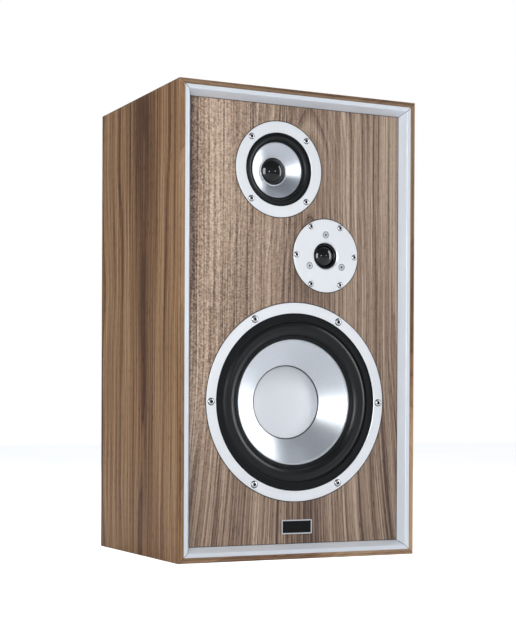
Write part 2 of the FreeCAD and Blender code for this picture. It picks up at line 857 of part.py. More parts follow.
def magnet(d):
    """Ferrite ring with broken edges."""
    a = d.motor_depth + d.top_plate_thickness
    b = a + d.magnet_thickness
    r, c = d.magnet_radius, MOTOR_EDGE
    hole = d.coil_radius + d.winding + d.gap + d.magnet_clearance
    return turned(d, [(hole, a), (r - c, a), (r, a + c), (r, b - c), (r - c, b), (hole, b)])


def pole_yoke(d):
    """Back plate and vented centre pole in one piece."""
    a = d.motor_depth
    b = a + d.top_plate_thickness + d.magnet_thickness
    end = motor_end(d)
    pole = d.coil_radius - d.former_wall - d.gap
    vent = VENT_SHARE * pole
    r, c = d.yoke_radius, MOTOR_EDGE
    return turned(
        d, [(vent, a), (pole, a), (pole, b), (r, b), (r, end - c), (r - c, end), (vent, end)]
    )


def motor_end(d):
    """Depth of the yoke's back face."""
    return d.motor_depth + d.top_plate_thickness + d.magnet_thickness + d.yoke_thickness


def rear_chamber(d):
    """Sealed tub that keeps the woofer's pressure off the midrange cone, with two holes for its leads."""
    start = BAFFLE_THICKNESS
    end = start + CHAMBER_DEPTH
    r, w = CHAMBER_RADIUS, CHAMBER_WALL
    tub = turned(
        d,
        [
            (r - w, start),
            (r + CHAMBER_FLANGE, start),
            (r + CHAMBER_FLANGE, start + w),
            (r, start + w),
            (r, end - w),
            (r - w, end),
            (0, end),
            (0, end - w),
            (r - 2 * w, end - w),
            (r - w, end - 2 * w),
        ],
    )
    z = strip_axis_z(d)
    holes = [
        rod(x, z, LEAD_RADIUS + LEAD_TOUCH, FACE + end - w - PAST, FACE + end + PAST)
        for x in lead_pair(d.x)
    ]
    return tub.cut(Part.makeCompound(holes))


def cone_driver(d):
    """The pieces of a cone driver, by node name, without its screws."""
    pieces = {
        "trim_ring": trim_ring(d),
        "basket": basket(d),
        "surround": surround(d),
        "cone": cone(d),
        "dust_cap": dust_cap(d),
        "spider": spider(d),
        "voice_coil": voice_coil(d),
        "tinsel_leads": tinsel_leads(d),
        "top_plate": top_plate(d),
        "magnet": magnet(d),
        "pole_yoke": pole_yoke(d),
    }
    if d.gasket_rise > 0:
        pieces["front_gasket"] = front_gasket(d)
    return {d.name + "_" + name: solid for name, solid in pieces.items()}


# ================================================================ tweeter
def tweeter_back(t):
    """Depth of the faceplate's back face."""
    return t.plate_thickness - RING_PROUD


def tweeter_motor(t):
    """Depth of the tweeter's top plate, which clamps the surround against the faceplate."""
    return tweeter_back(t) + t.surround_wall


def inner_places(t):
    return list(ring_places(t, t.inner_circle, t.inner_screws, t.inner_first_deg))


def faceplate(t):
    """Round metal plate with a chamfered mouth, counterbored outer holes and countersunk inner ones."""
    front, back, edge = -RING_PROUD, tweeter_back(t), RING_EDGE
    plate = turned(
        t,
        [
            (t.mouth_radius, front),
            (t.ring_outer - edge, front),
            (t.ring_outer, front + edge),
            (t.ring_outer, back),
            (t.throat_radius, back),
            (t.throat_radius, front + t.chamfer_depth),
        ],
    )
    cuts = [mounting_holes(t)]
    for x, z in inner_places(t):
        hole = t.inner_radius + HOLE_GAP
        mouth = t.inner_head + HOLE_GAP
        cuts.append(rod(x, z, hole, FACE + front, FACE + back + PAST))
        cuts.append(Part.makeCone(mouth, hole, mouth - hole, V(x, FACE + front, z), ALONG_Y))
    return plate.cut(Part.makeCompound(cuts))


def plate_screws(t):
    """Countersunk socket screws that hold the motor to the faceplate."""
    screws = []
    front = FACE - RING_PROUD
    sink = t.inner_head - t.inner_radius
    for x, z in inner_places(t):
        head = Part.makeCone(t.inner_head, t.inner_radius, sink, V(x, front, z), ALONG_Y)
        shank = rod(x, z, t.inner_radius, front + sink, front + t.inner_length)
        socket = hexagon(x, front, z, INNER_SOCKET_SHARE * t.inner_head).extrude(V(0, sink, 0))
        screws.append(head.fuse(shank).removeSplitter().cut(socket))
    return group(screws)


def dome(t):
    """Soft dome with a short rim that takes the coil's former."""
    base = tweeter_back(t)
    rim = t.dome_wall
    return shell_cap(t, t.dome_radius, t.dome_rise, t.dome_wall, base, base + rim, skirt=rim)


def dome_surround(t):
    """Small half roll from the dome's rim to a flange clamped on the top plate."""
    w = t.surround_wall
    inner = t.dome_radius + GLUE_WIDTH
    roll = t.throat_radius - GLUE_WIDTH
    grip = t.throat_radius + t.surround_grip
    base = tweeter_back(t)
    middle = (inner + roll) / 2
    crest = base - t.surround_rise
    return turned_edges(
        t,
        [
            [(inner, base), (middle, crest), (roll, base)],
            [(roll, base), (grip, base)],
            [(grip, base), (grip, base + w)],
            [(grip, base + w), (roll - w, base + w)],
            [(roll - w, base + w), (middle, crest + w), (inner + w, base + w)],
            [(inner + w, base + w), (inner, base + w)],
            [(inner, base + w), (inner, base)],
        ],
    )


def tweeter_former(t):
    """Inner and outer radius of the former, which fits inside the dome's rim."""
    outside = t.dome_radius - t.dome_wall - WIRE_GLUE
    return outside - t.former_wall, outside


def tweeter_coil(t):
    """The short former and the wire wound on its far end."""
    inside, outside = tweeter_former(t)
    start = tweeter_back(t) + t.dome_wall + WIRE_GLUE
    end = start + t.former_length
    top = end - t.coil_length
    wire_in, wire_out = outside + WIRE_GLUE, outside + t.winding
    former = turned(t, [(inside, start), (outside, start), (outside, end), (inside, end)])
    wire = turned(t, [(wire_in, top), (wire_out, top), (wire_out, end), (wire_in, end)])
    return group([former, wire])


def tweeter_motor_parts(t):
    """Top plate, magnet and yoke, stacked behind the faceplate."""
    inside, outside = tweeter_former(t)
    plate_hole = outside + t.winding + t.gap
    pole = inside - t.gap
    vent = VENT_SHARE * pole
    a = tweeter_motor(t)
    b = a + t.top_plate_thickness
    c = b + t.magnet_thickness
    end = tweeter_end(t)
    magnet_in, magnet_out = plate_hole + t.magnet_clearance, t.magnet_radius
    outer, back = t.top_plate_radius, t.yoke_radius
    top = turned(t, [(plate_hole, a), (outer, a), (outer, b), (plate_hole, b)])
    bolt_holes = [
        rod(x, z, t.inner_radius + HOLE_GAP, FACE, FACE + t.inner_length)
        for x, z in inner_places(t)
    ]
    top = top.cut(Part.makeCompound(bolt_holes))
    ring = turned(t, [(magnet_in, b), (magnet_out, b), (magnet_out, c), (magnet_in, c)])
    tip = a + POLE_SETBACK
    yoke = turned(
        t, [(vent, tip), (pole, tip), (pole, c), (back, c), (back, end), (vent, end)]
    )
    return {"tweeter_top_plate": top, "tweeter_magnet": ring, "tweeter_pole_yoke": yoke}


def tweeter_end(t):
    """Depth of the tweeter yoke's back face."""
    return tweeter_motor(t) + t.top_plate_thickness + t.magnet_thickness + t.yoke_thickness


def tweeter(t):
    """The pieces of the tweeter, by node name, without its mounting screws."""
    pieces = {
        "tweeter_faceplate": faceplate(t),
        "tweeter_plate_screws": plate_screws(t),
        "tweeter_dome": dome(t),
        "tweeter_surround": dome_surround(t),
        "tweeter_voice_coil": tweeter_coil(t),
    }
    pieces.update(tweeter_motor_parts(t))
    return pieces


# ================================================================ terminals
def cup_screw_places():
    w = CUP_WIDTH / 2 - CUP_SCREW_INSET
    h = CUP_HEIGHT / 2 - CUP_SCREW_INSET
    return [(sx * w, CUP_Z + sz * h) for sx in (-1, 1) for sz in (-1, 1)]


def post_places():
    """Red on the right and black on the left, seen from behind."""
    return {"red": -POST_PITCH / 2, "black": POST_PITCH / 2}


def cup_floor():
    """The face of the cup's floor that is seen from behind the cabinet."""
    return BACK_OUT - CUP_DEPTH


def shoulder_top():
    """The outward face of a shaft's shoulder, on which the clamp closes."""
    return cup_floor() + POST_BOSS_HEIGHT + POST_SHOULDER


def shaft_end():
    return shoulder_top() + COLLAR_THICKNESS + CAP_LENGTH - CAP_MOUTH_DEPTH


def post_inner_end():
    return cup_floor() - CUP_WALL - POST_INSIDE


def terminal_cup():
    """Moulded dish with a flange round its mouth and a raised boss round each binding post."""
    floor = cup_floor()
    flange = rounded_plate(CUP_WIDTH, CUP_HEIGHT, CUP_CORNER, 0, CUP_Z, BACK_OUT - CUP_WALL, BACK_OUT)
    grow = 2 * CUP_WALL
    tub = rounded_plate(
        CUP_RECESS_WIDTH + grow,
        CUP_RECESS_HEIGHT + grow,
        CUP_RECESS_CORNER + CUP_WALL,
        0,
        CUP_Z,
        floor - CUP_WALL,
        BACK_OUT,
    )
    recess = rounded_plate(
        CUP_RECESS_WIDTH, CUP_RECESS_HEIGHT, CUP_RECESS_CORNER, 0, CUP_Z, floor, BACK_OUT + PAST
    )
    cup = flange.fuse(tub).cut(recess)
    top = floor + POST_BOSS_HEIGHT
    for x in post_places().values():
        foot = POST_BOSS_RADIUS + POST_BOSS_TAPER
        boss = Part.makeCone(foot, POST_BOSS_RADIUS, POST_BOSS_HEIGHT, V(x, floor, CUP_Z), ALONG_Y)
        cup = cup.fuse(boss)
    cuts = [
        rod(x, CUP_Z, POST_RADIUS + HOLE_GAP, floor - CUP_WALL - PAST, top + PAST)
        for x in post_places().values()
    ]
    cuts += [
        rod(x, z, CUP_SCREW.radius + HOLE_GAP, BACK_OUT - CUP_WALL - PAST, BACK_OUT + PAST)
        for x, z in cup_screw_places()
    ]
    return cup.removeSplitter().cut(Part.makeCompound(cuts))


def cup_screws():
    return group(placed_screw(CUP_SCREW, x, BACK_OUT, z, outward=1) for x, z in cup_screw_places())


def post_nut(x):
    """Hexagon nut behind the cup's floor."""
    seat = cup_floor() - CUP_WALL
    corner = NUT_ACROSS_FLATS / 2 / math.cos(math.radians(30))
    nut = hexagon(x, seat, CUP_Z, corner).extrude(V(0, -NUT_THICKNESS, 0))
    return nut.cut(rod(x, CUP_Z, POST_RADIUS + THREAD_FIT, seat - NUT_THICKNESS - PAST, seat + PAST))


def post_shaft(x):
    """Metal shaft with a shoulder, a cross hole for bare wire and a plug socket in its end."""
    shaft = rod(x, CUP_Z, POST_RADIUS, post_inner_end(), shaft_end())
    shoulder = rod(x, CUP_Z, POST_SHOULDER_RADIUS, shoulder_top() - POST_SHOULDER, shoulder_top())
    shaft = shaft.fuse(shoulder).removeSplitter()
    socket = rod(x, CUP_Z, SOCKET_RADIUS, shaft_end() - SOCKET_DEPTH, shaft_end() + PAST)
    wire = Part.makeCylinder(
        WIRE_HOLE_RADIUS,
        4 * POST_RADIUS,
        V(x, shoulder_top() + WIRE_HOLE_RADIUS + WIRE_HOLE_LIFT, CUP_Z - 2 * POST_RADIUS),
        V(0, 0, 1),
    )
    return shaft.cut(Part.makeCompound([socket, wire]))


def clamp_collar(x):
    """Ring under a cap, which clamps a wire or a fork against the shoulder without turning."""
    start = shoulder_top() + STACK_GAP
    end = start + COLLAR_THICKNESS - STACK_GAP
    ring = rod(x, CUP_Z, COLLAR_RADIUS, start, end)
    ring = ring.makeChamfer(COLLAR_EDGE, circles(ring, COLLAR_RADIUS))
    return ring.cut(rod(x, CUP_Z, POST_RADIUS + COLLAR_FIT, start - PAST, end + PAST))


def post_cap(x):
    """Fluted screw cap, open at the end so that a plug can enter the shaft's socket."""
    start = shoulder_top() + COLLAR_THICKNESS + STACK_GAP
    end = start + CAP_LENGTH
    cap = rod(x, CUP_Z, CAP_RADIUS, start, end)
    cap = cap.makeFillet(CAP_EDGE, circles(cap, CAP_RADIUS))
    mouth_floor = V(x, end - CAP_MOUTH_DEPTH, CUP_Z)
    mouth_foot = CAP_MOUTH_RADIUS - CAP_MOUTH_TAPER
    cuts = [
        rod(x, CUP_Z, POST_RADIUS + THREAD_FIT, start - PAST, end + PAST),
        Part.makeCone(mouth_foot, CAP_MOUTH_RADIUS, CAP_MOUTH_DEPTH, mouth_floor, ALONG_Y),
    ]
    reach = CAP_RADIUS + CAP_GRIP_RADIUS * GRIP_REACH
    for n in range(CAP_GRIPS):
        a = 2 * math.pi * n / CAP_GRIPS
        groove_x, groove_z = x + reach * math.cos(a), CUP_Z + reach * math.sin(a)
        cuts.append(rod(groove_x, groove_z, CAP_GRIP_RADIUS, start + CAP_GRIP_START, end + PAST))
    return cap.cut(Part.makeCompound(cuts))


# ================================================================ crossover
def board_centre_z():
    return CUP_Z + CUP_HEIGHT / 2 + BOARD_ABOVE_CUP + BOARD_HEIGHT / 2


def board_front():
    """The component side of the board, which faces the drivers."""
    return BACK_IN - SPACER_HEIGHT - BOARD_THICKNESS


def spacer_places():
    w, h = BOARD_WIDTH / 2 - SPACER_INSET, BOARD_HEIGHT / 2 - SPACER_INSET
    z = board_centre_z()
    return [(sx * w, z + sz * h) for sx in (-1, 1) for sz in (-1, 1)]


def crossover():
    """Board on spacers, with air-cored coils, film capacitors and wire-wound resistors."""
    z = board_centre_z()
    front = board_front()
    board = block(
        -BOARD_WIDTH / 2,
        BOARD_WIDTH / 2,
        front,
        front + BOARD_THICKNESS,
        z - BOARD_HEIGHT / 2,
        z + BOARD_HEIGHT / 2,
    )
    spacers = [
        rod(x, zz, SPACER_RADIUS, front + BOARD_THICKNESS, BACK_IN) for x, zz in spacer_places()
    ]
    coils = []
    for x, dz, r, length in COILS:
        outer = rod(x, z + dz, r, front - PART_GAP - length, front - PART_GAP)
        hole = rod(x, z + dz, r * COIL_HOLE_SHARE, front - PART_GAP - length - PAST, front + PAST)
        coils.append(outer.cut(hole))
    capacitors = []
    for x, dz, r, length in CAPACITORS:
        can = Part.makeCylinder(
            r, length, V(x - length / 2, front - PART_GAP - r, z + dz), V(1, 0, 0)
        )
        capacitors.append(can.makeFillet(CAN_EDGE, [e for e in can.Edges if e.Length > 2 * r]))
    w, d, h = RESISTOR_SIZE
    resistors = [
        block(x - w / 2, x + w / 2, front - PART_GAP - d, front - PART_GAP, z + dz - h / 2, z + dz + h / 2)
        for x, dz in RESISTORS
    ]
    return {
        "crossover_board": board,
        "crossover_spacers": group(spacers),
        "crossover_coils": group(coils),
        "crossover_capacitors": group(capacitors),
        "crossover_resistors": group(resistors),
    }


# ================================================================ wiring
def basket_foot(d):
    """Outer radius of the basket's back ring."""
    return d.spider_radius + d.basket_wall


def ledge_depth(d):
    """Depth of the ledge behind the spider's rim."""
    return d.spider_depth + d.cloth


def strip_axis_z(d):
    """Height of the tags on a cone driver's strip, where its leads end."""
    return d.z + basket_foot(d) + STRIP_TAG_SHARE * STRIP_HEIGHT


def strip_depths(d):
    start = ledge_depth(d) + STRIP_SETBACK
    return start, start + STRIP_LENGTH


def lead_pair(x):
    return x - LEAD_SPACING / 2, x + LEAD_SPACING / 2


def tag_strip(d):
    """Moulded strip on the top of a basket's back ring, joining the inner leads to the tinsel."""
    start, end = strip_depths(d)
    base = d.z + basket_foot(d)
    strip = block(
        d.x - STRIP_WIDTH / 2,
        d.x + STRIP_WIDTH / 2,
        FACE + start,
        FACE + end,
        base - STRIP_HEIGHT / 2,
        base + STRIP_HEIGHT,
    )
    return strip.cut(rod(d.x, d.z, basket_foot(d) + GLUE_WIDTH, FACE + start - PAST, FACE + end + PAST))


def tweeter_strip(t):
    """The same strip, flat on the back of the tweeter's yoke."""
    back = FACE + tweeter_end(t)
    base = t.z + TWEETER_STRIP_RISE
    half = STRIP_WIDTH / 2
    return block(t.x - half, t.x + half, back, back + STRIP_HEIGHT, base, base + STRIP_LENGTH)


def tube(points, radius):
    """A round lead along straight runs joined by tangent arcs as large as the runs allow."""
    edges, here = [], points[0]
    for before, corner, after in zip(points, points[1:], points[2:]):
        shorter = min((corner - before).Length, (after - corner).Length)
        arc = corner_arc(before, corner, after, ARC_SHARE * shorter)
        edges += [Part.makeLine(here, arc.Vertexes[0].Point), arc]
        here = arc.Vertexes[-1].Point
    edges.append(Part.makeLine(here, points[-1]))
    path = Part.Wire(edges)
    section = Part.Wire([Part.makeCircle(radius, points[0], points[1] - points[0])])
    solid = path.makePipeShell([section], True, False)
    wanted = math.pi * radius**2 * path.Length
    if abs(solid.Volume - wanted) > VOLUME_SLACK * wanted:
        raise ValueError("a lead's solid doesn't have the volume of its path")
    return solid


def tinsel_leads(d):
    """Two limp braids from the tag strip through the basket's window to the back of the cone."""
    strip_front, _ = strip_depths(d)
    axis = strip_axis_z(d) - d.z
    window = ledge_depth(d) - d.basket_wall - TINSEL_DROP
    foot = d.coil_radius * (1 + TINSEL_FOOT)
    cone_back = cone_depth(d, foot) + d.cone_thickness * math.hypot(1, d.cone_slope) + LEAD_TOUCH
    lean = math.hypot(1, d.cone_slope)
    out, back = d.cone_slope / lean, 1 / lean
    run = TINSEL_END_RUN * d.coil_radius
    route = [
        (axis, strip_front - LEAD_TOUCH),
        (axis, window),
        ((axis + foot) / 2, window - TINSEL_SAG),
        (foot + run * out, cone_back + run * back),
        (foot, cone_back),
    ]
    return group(
        tube([V(x, FACE + depth, d.z + r) for r, depth in route], TINSEL_RADIUS)
        for x in lead_pair(d.x)
    )


def lead_routes():
    """Point lists of the four pairs, between the posts, the board and the three drivers."""
    board_y = board_front() - LEAD_TOUCH
    low = board_centre_z() - BOARD_HEIGHT / 2 + BOARD_MARGIN
    high = board_centre_z() + BOARD_HEIGHT / 2 - BOARD_MARGIN
    routes = []
    for x in post_places().values():
        start = post_inner_end() - LEAD_TOUCH
        loop = start - POST_LEAD_LOOP
        routes.append(
            [
                V(x, start, CUP_Z),
                V(x, loop, CUP_Z),
                V(x, loop, low),
                V(x, board_y, low),
            ]
        )
    strip_start, strip_end = strip_depths(WOOFER)
    woofer_y = FACE + (strip_start + strip_end) / 2
    woofer_top = WOOFER.z + basket_foot(WOOFER) + STRIP_HEIGHT + LEAD_TOUCH
    for x in lead_pair(WOOFER.x):
        routes.append(
            [
                V(x - 30, board_y, high),
                V(x - 30, board_y - 44, high),
                V(x - 20, board_y - 92, woofer_top + 44),
                V(x - 4, woofer_y + 36, woofer_top + 48),
                V(x, woofer_y, woofer_top + 34),
                V(x, woofer_y, woofer_top),
            ]
        )
    chamber = FACE + BAFFLE_THICKNESS + CHAMBER_DEPTH
    mid_y = FACE + strip_depths(MID)[1] + LEAD_TOUCH
    mid_z = strip_axis_z(MID)
    for x in lead_pair(MID.x):
        routes.append(
            [
                V(x - 34, board_y, high),
                V(x - 34, board_y - 46, high),
                V(x - 34, board_y - 68, high + 58),
                V(x - 26, board_y - 76, high + 122),
                V(x - 14, chamber + 58, mid_z - 66),
                V(x - 3, chamber + 48, mid_z - 12),
                V(x, chamber + 24, mid_z),
                V(x, mid_y, mid_z),
            ]
        )
    yoke = FACE + tweeter_end(TWEETER) + STRIP_HEIGHT + LEAD_TOUCH
    tags = TWEETER.z + TWEETER_STRIP_RISE + STRIP_LENGTH / 2
    for x in lead_pair(TWEETER.x):
        routes.append(
            [
                V(x + 6, board_y, high),
                V(x + 6, board_y - 50, high),
                V(x + 8, board_y - 82, high + 46),
                V(x + 5, yoke + 76, tags - 26),
                V(x + 1, yoke + 34, tags - 1),
                V(x, yoke, tags),
            ]
        )
    return routes


# ================================================================ everything
def build():
    wrap = wrap_panels()
    trim = trim_bars()
    parts = {
        "left_side_panel": wrap["left"],
        "right_side_panel": wrap["right"],
        "bottom_panel": wrap["bottom"],
        "top_panel": wrap["top"],
        "trim_bars_upright": group([trim["left"], trim["right"]]),
        "trim_bars_level": group([trim["bottom"], trim["top"]]),
        "front_baffle": front_baffle(),
        "back_panel": back_panel(),
        "damping_pads": damping_pads(),
        "woofer_screws": group(mounting_screws(WOOFER)),
        "small_driver_screws": group(mounting_screws(MID) + mounting_screws(TWEETER)),
        "mid_rear_chamber": rear_chamber(MID),
        "driver_tag_strips": group([tag_strip(WOOFER), tag_strip(MID), tweeter_strip(TWEETER)]),
        "terminal_cup": terminal_cup(),
        "cup_screws": cup_screws(),
        "post_shafts": group(post_shaft(x) for x in post_places().values()),
        "post_nuts": group(post_nut(x) for x in post_places().values()),
        "internal_leads": group(tube(points, LEAD_RADIUS) for points in lead_routes()),
    }
    for pieces in (badge(), cone_driver(WOOFER), cone_driver(MID), tweeter(TWEETER), crossover()):
        parts.update(pieces)
    for colour, x in post_places().items():
        parts[colour + "_clamp_collar"] = clamp_collar(x)
        parts[colour + "_post_cap"] = post_cap(x)
    return parts


def main():
    os.makedirs("parts", exist_ok=True)
    parts = build()
    for name, shape in sorted(parts.items()):
        if not shape.isValid() or not shape.Solids:
            raise ValueError(name + " isn't a valid solid")
        shape.exportStep("parts/" + name + ".step")
    print(len(parts), "nodes,", sum(len(shape.Solids) for shape in parts.values()), "solids")


main()
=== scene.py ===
# %% [markdown]
# # A three-way loudspeaker in walnut, silver and black
#
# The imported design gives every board, ring and screw at its true size. This notebook gives them their
# looks: veneer, satin and spun metal, rubber, gloss domes and plastics. Pieces whose real shape is soft
# or pressed, such as surrounds, cones and domes, are modelled again as smooth turned meshes.
# The design is loaded first, because every place below is read from it.

# %% Load the design
import math

import bmesh
import bpy
from mathutils import Matrix, Vector
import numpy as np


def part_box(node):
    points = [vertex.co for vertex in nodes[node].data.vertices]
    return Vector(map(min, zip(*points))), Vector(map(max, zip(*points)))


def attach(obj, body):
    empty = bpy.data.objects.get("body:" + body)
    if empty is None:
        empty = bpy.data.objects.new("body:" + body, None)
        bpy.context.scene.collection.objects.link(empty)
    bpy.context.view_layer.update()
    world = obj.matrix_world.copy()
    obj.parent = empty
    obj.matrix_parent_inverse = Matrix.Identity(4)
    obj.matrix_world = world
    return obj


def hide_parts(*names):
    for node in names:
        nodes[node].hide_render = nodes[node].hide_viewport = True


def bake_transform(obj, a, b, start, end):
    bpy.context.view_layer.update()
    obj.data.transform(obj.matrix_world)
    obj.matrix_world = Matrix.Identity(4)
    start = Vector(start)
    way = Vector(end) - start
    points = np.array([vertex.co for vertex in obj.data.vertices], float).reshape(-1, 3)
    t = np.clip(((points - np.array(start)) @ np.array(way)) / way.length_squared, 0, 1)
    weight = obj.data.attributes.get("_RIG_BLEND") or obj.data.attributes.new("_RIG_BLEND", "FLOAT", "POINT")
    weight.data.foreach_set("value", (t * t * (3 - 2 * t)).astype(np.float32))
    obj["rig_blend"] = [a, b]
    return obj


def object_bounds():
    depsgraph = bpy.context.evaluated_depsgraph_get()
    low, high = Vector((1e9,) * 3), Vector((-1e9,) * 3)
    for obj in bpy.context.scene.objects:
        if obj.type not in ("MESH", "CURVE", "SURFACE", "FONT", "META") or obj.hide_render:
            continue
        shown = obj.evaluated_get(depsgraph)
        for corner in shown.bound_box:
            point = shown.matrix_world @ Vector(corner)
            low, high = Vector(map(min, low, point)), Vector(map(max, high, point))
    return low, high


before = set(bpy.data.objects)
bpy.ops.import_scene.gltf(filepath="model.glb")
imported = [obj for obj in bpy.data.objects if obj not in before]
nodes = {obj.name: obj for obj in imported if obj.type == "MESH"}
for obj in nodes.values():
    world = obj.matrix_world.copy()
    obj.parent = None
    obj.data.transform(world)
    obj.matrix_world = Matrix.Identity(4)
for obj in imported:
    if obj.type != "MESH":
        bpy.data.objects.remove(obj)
cad_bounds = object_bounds()
print("design box", [[round(v, 4) for v in corner] for corner in cad_bounds])

# %% [markdown]
# ## Camera
# The speaker is seen from its left, from a little above the surface that it stands on. A long lens
# keeps its uprights nearly parallel. Tilting the camera to fill the frame would make them converge,
# so the camera stays almost level and the lens is shifted instead, as on a view camera.

# %% Camera
LENS, SENSOR = 82.86, 36.0  # millimetres
LENS_SHIFT = (0.0237, 0.1577)
CAMERA_SPOT = (-0.8869, -1.8063, 0.188)
CAMERA_TURN = (89.654, -0.2415, -25.7345)  # degrees
camera_data = bpy.data.cameras.new("camera")
camera_data.lens, camera_data.sensor_width = LENS, SENSOR
camera_data.shift_x, camera_data.shift_y = LENS_SHIFT
camera = bpy.data.objects.new("camera", camera_data)
camera.location = CAMERA_SPOT
camera.rotation_euler = [math.radians(a) for a in CAMERA_TURN]
bpy.context.scene.collection.objects.link(camera)
bpy.context.scene.camera = camera
bpy.context.scene.view_settings.view_transform = "Standard"
print("camera", round(camera.location.length, 2), "m from the speaker's foot")

# %% [markdown]
# ## Node helpers
# A material is a small graph, and writing each node and link out in full hides the idea. So one helper
# adds a node and fills or links its sockets, and the others give the sums and the soft noise, which
# every finish uses, a short name.

# %% Node helpers
def feed(tree, socket, value):
    """Links a socket to another node's output, or sets its own value."""
    if isinstance(value, bpy.types.NodeSocket):
        tree.links.new(value, socket)
    else:
        socket.default_value = value


def add(tree, kind, inputs=None, **settings):
    """Adds a shader node. inputs are given by name or by number."""
    made = tree.nodes.new("ShaderNode" + kind)
    for name, value in settings.items():
        setattr(made, name, value)
    for name, value in (inputs or {}).items():
        feed(tree, made.inputs[name], value)
    return made


def maths(tree, operation, *values):
    """The result of a Math node."""
    return add(tree, "Math", dict(enumerate(values)), operation=operation).outputs[0]


def blur(tree, vector, scale, detail=2.0):
    """The value of a soft noise."""
    return add(tree, "TexNoise", {"Vector": vector, "Scale": scale, "Detail": detail}).outputs[0]


def remap(tree, value, low, high, to_low=0.0, to_high=1.0):
    """Stretches one range of a value to another, and holds it at the ends."""
    inputs = {0: value, 1: low, 2: high, 3: to_low, 4: to_high}
    return add(tree, "MapRange", inputs, clamp=True).outputs[0]


def about_zero(tree, value):
    """A noise moved down by half, so that it falls as much below zero as it rises above."""
    return maths(tree, "SUBTRACT", value, 0.5)


def object_place(tree):
    """The point's own place in the object's metres."""
    return add(tree, "TexCoord").outputs["Object"]


def bump(tree, height, distance):
    """A normal that follows a height."""
    return add(tree, "Bump", {"Height": height, "Distance": distance}).outputs[0]


def tinted(tree, shade, amount):
    """A colour made lighter or darker from point to point."""
    return add(tree, "VectorMath", {0: shade[:3], "Scale": amount}, operation="SCALE").outputs[0]


print("node helpers:", ", ".join(f.__name__ for f in (add, maths, blur, remap, bump, tinted)))

# %% [markdown]
# An effect that several finishes share, such as the figure of walnut, is a node group with named inputs
# and outputs. It is built once, and each material places it with its own values. The shader itself
# stays in the material, with every value that is the same all over set on its own socket.

# %% Groups and materials
def new_group(name, inputs, outputs):
    """Opens a node group and returns it with its input and output nodes."""
    tree = bpy.data.node_groups.new(name, "ShaderNodeTree")
    for way, sockets in (("INPUT", inputs), ("OUTPUT", outputs)):
        for label, kind in sockets.items():
            tree.interface.new_socket(label, in_out=way, socket_type="NodeSocket" + kind)
    return tree, tree.nodes.new("NodeGroupInput").outputs, tree.nodes.new("NodeGroupOutput").inputs


def use_group(tree, group, inputs):
    """Places a node group in a material with its own values."""
    made = tree.nodes.new("ShaderNodeGroup")
    made.node_tree = group
    for name, value in inputs.items():
        feed(tree, made.inputs[name], value)
    return made.outputs


def new_material(name, **surface):
    """A material with one Principled shader; surface gives its sockets by name, _ for a space."""
    made = bpy.data.materials.new(name)
    made.use_nodes = True
    tree = made.node_tree
    tree.nodes.clear()
    shader = add(tree, "BsdfPrincipled")
    add(tree, "OutputMaterial", {"Surface": shader.outputs[0]})
    for label, value in surface.items():
        shader.inputs[label.replace("_", " ")].default_value = value
    return made, tree, shader.inputs


print("material helpers:", ", ".join(f.__name__ for f in (new_group, use_group, new_material)))

# %% [markdown]
# Paint charts count red, green and blue from 0 to 255 on a curve that suits the eye. Shaders work with
# amounts of light, so a chart's colour is taken off that curve first.

# %% Colours
def colour(red, green, blue):
    """A colour as a paint chart gives it, 0 to 255, in the linear form that shaders use."""
    def linear(part):
        part = part / 255
        return part / 12.92 if part <= 0.04045 else ((part + 0.055) / 1.055) ** 2.4
    return (linear(red), linear(green), linear(blue), 1.0)


def ramp(tree, value, stops):
    """A colour ramp from (place, colour) stops."""
    made = add(tree, "ValToRGB", {0: value})
    marks = made.color_ramp.elements
    for place, shade in stops[1:-1]:
        marks.new(place).color = shade
    for mark, (place, shade) in zip((marks[0], marks[-1]), (stops[0], stops[-1])):
        mark.position, mark.color = place, shade
    return made.outputs[0]


print("a chart's mid grey is", round(colour(128, 128, 128)[0], 3), "of full light")

# %% [markdown]
# ## Floor
# The speaker stands on pale paper. Its emission is seen only by the camera, so the paper looks white
# but doesn't light the cabinet from below.

# %% Floor
def place(name, bm):
    """Turns a bmesh into a piece in the scene."""
    mesh = bpy.data.meshes.new(name)
    bm.to_mesh(mesh)
    bm.free()
    made = bpy.data.objects.new(name, mesh)
    bpy.context.scene.collection.objects.link(made)
    return made


FLOOR_REACH, FLOOR_GLOW = 6.0, 0.8
floor_bm = bmesh.new()
bmesh.ops.create_grid(floor_bm, x_segments=8, y_segments=8, size=FLOOR_REACH)
floor = place("floor", floor_bm)
material, tree, surface = new_material("studio_floor", Roughness=0.8)
cloud = blur(tree, object_place(tree), 1.5)
paper = ramp(tree, cloud, ((0.3, colour(216, 218, 221)), (0.7, colour(224, 226, 229))))
white = ramp(tree, cloud, ((0.3, colour(253, 254, 255)), (0.7, colour(255, 255, 255))))
seen = add(tree, "LightPath").outputs["Is Camera Ray"]
feed(tree, surface["Base Color"], paper)
feed(tree, surface["Emission Color"], white)
feed(tree, surface["Emission Strength"], maths(tree, "MULTIPLY", seen, FLOOR_GLOW))
floor.data.materials.append(material)
print("floor", 2 * FLOOR_REACH, "m across")

# %% [markdown]
# ## Room
# Silver finishes show what stands round them, so the room matters as much as the lamps. It is pale and
# a little blue, brighter in front than behind and brighter near the floor than overhead. The camera
# itself sees plain white behind the speaker.

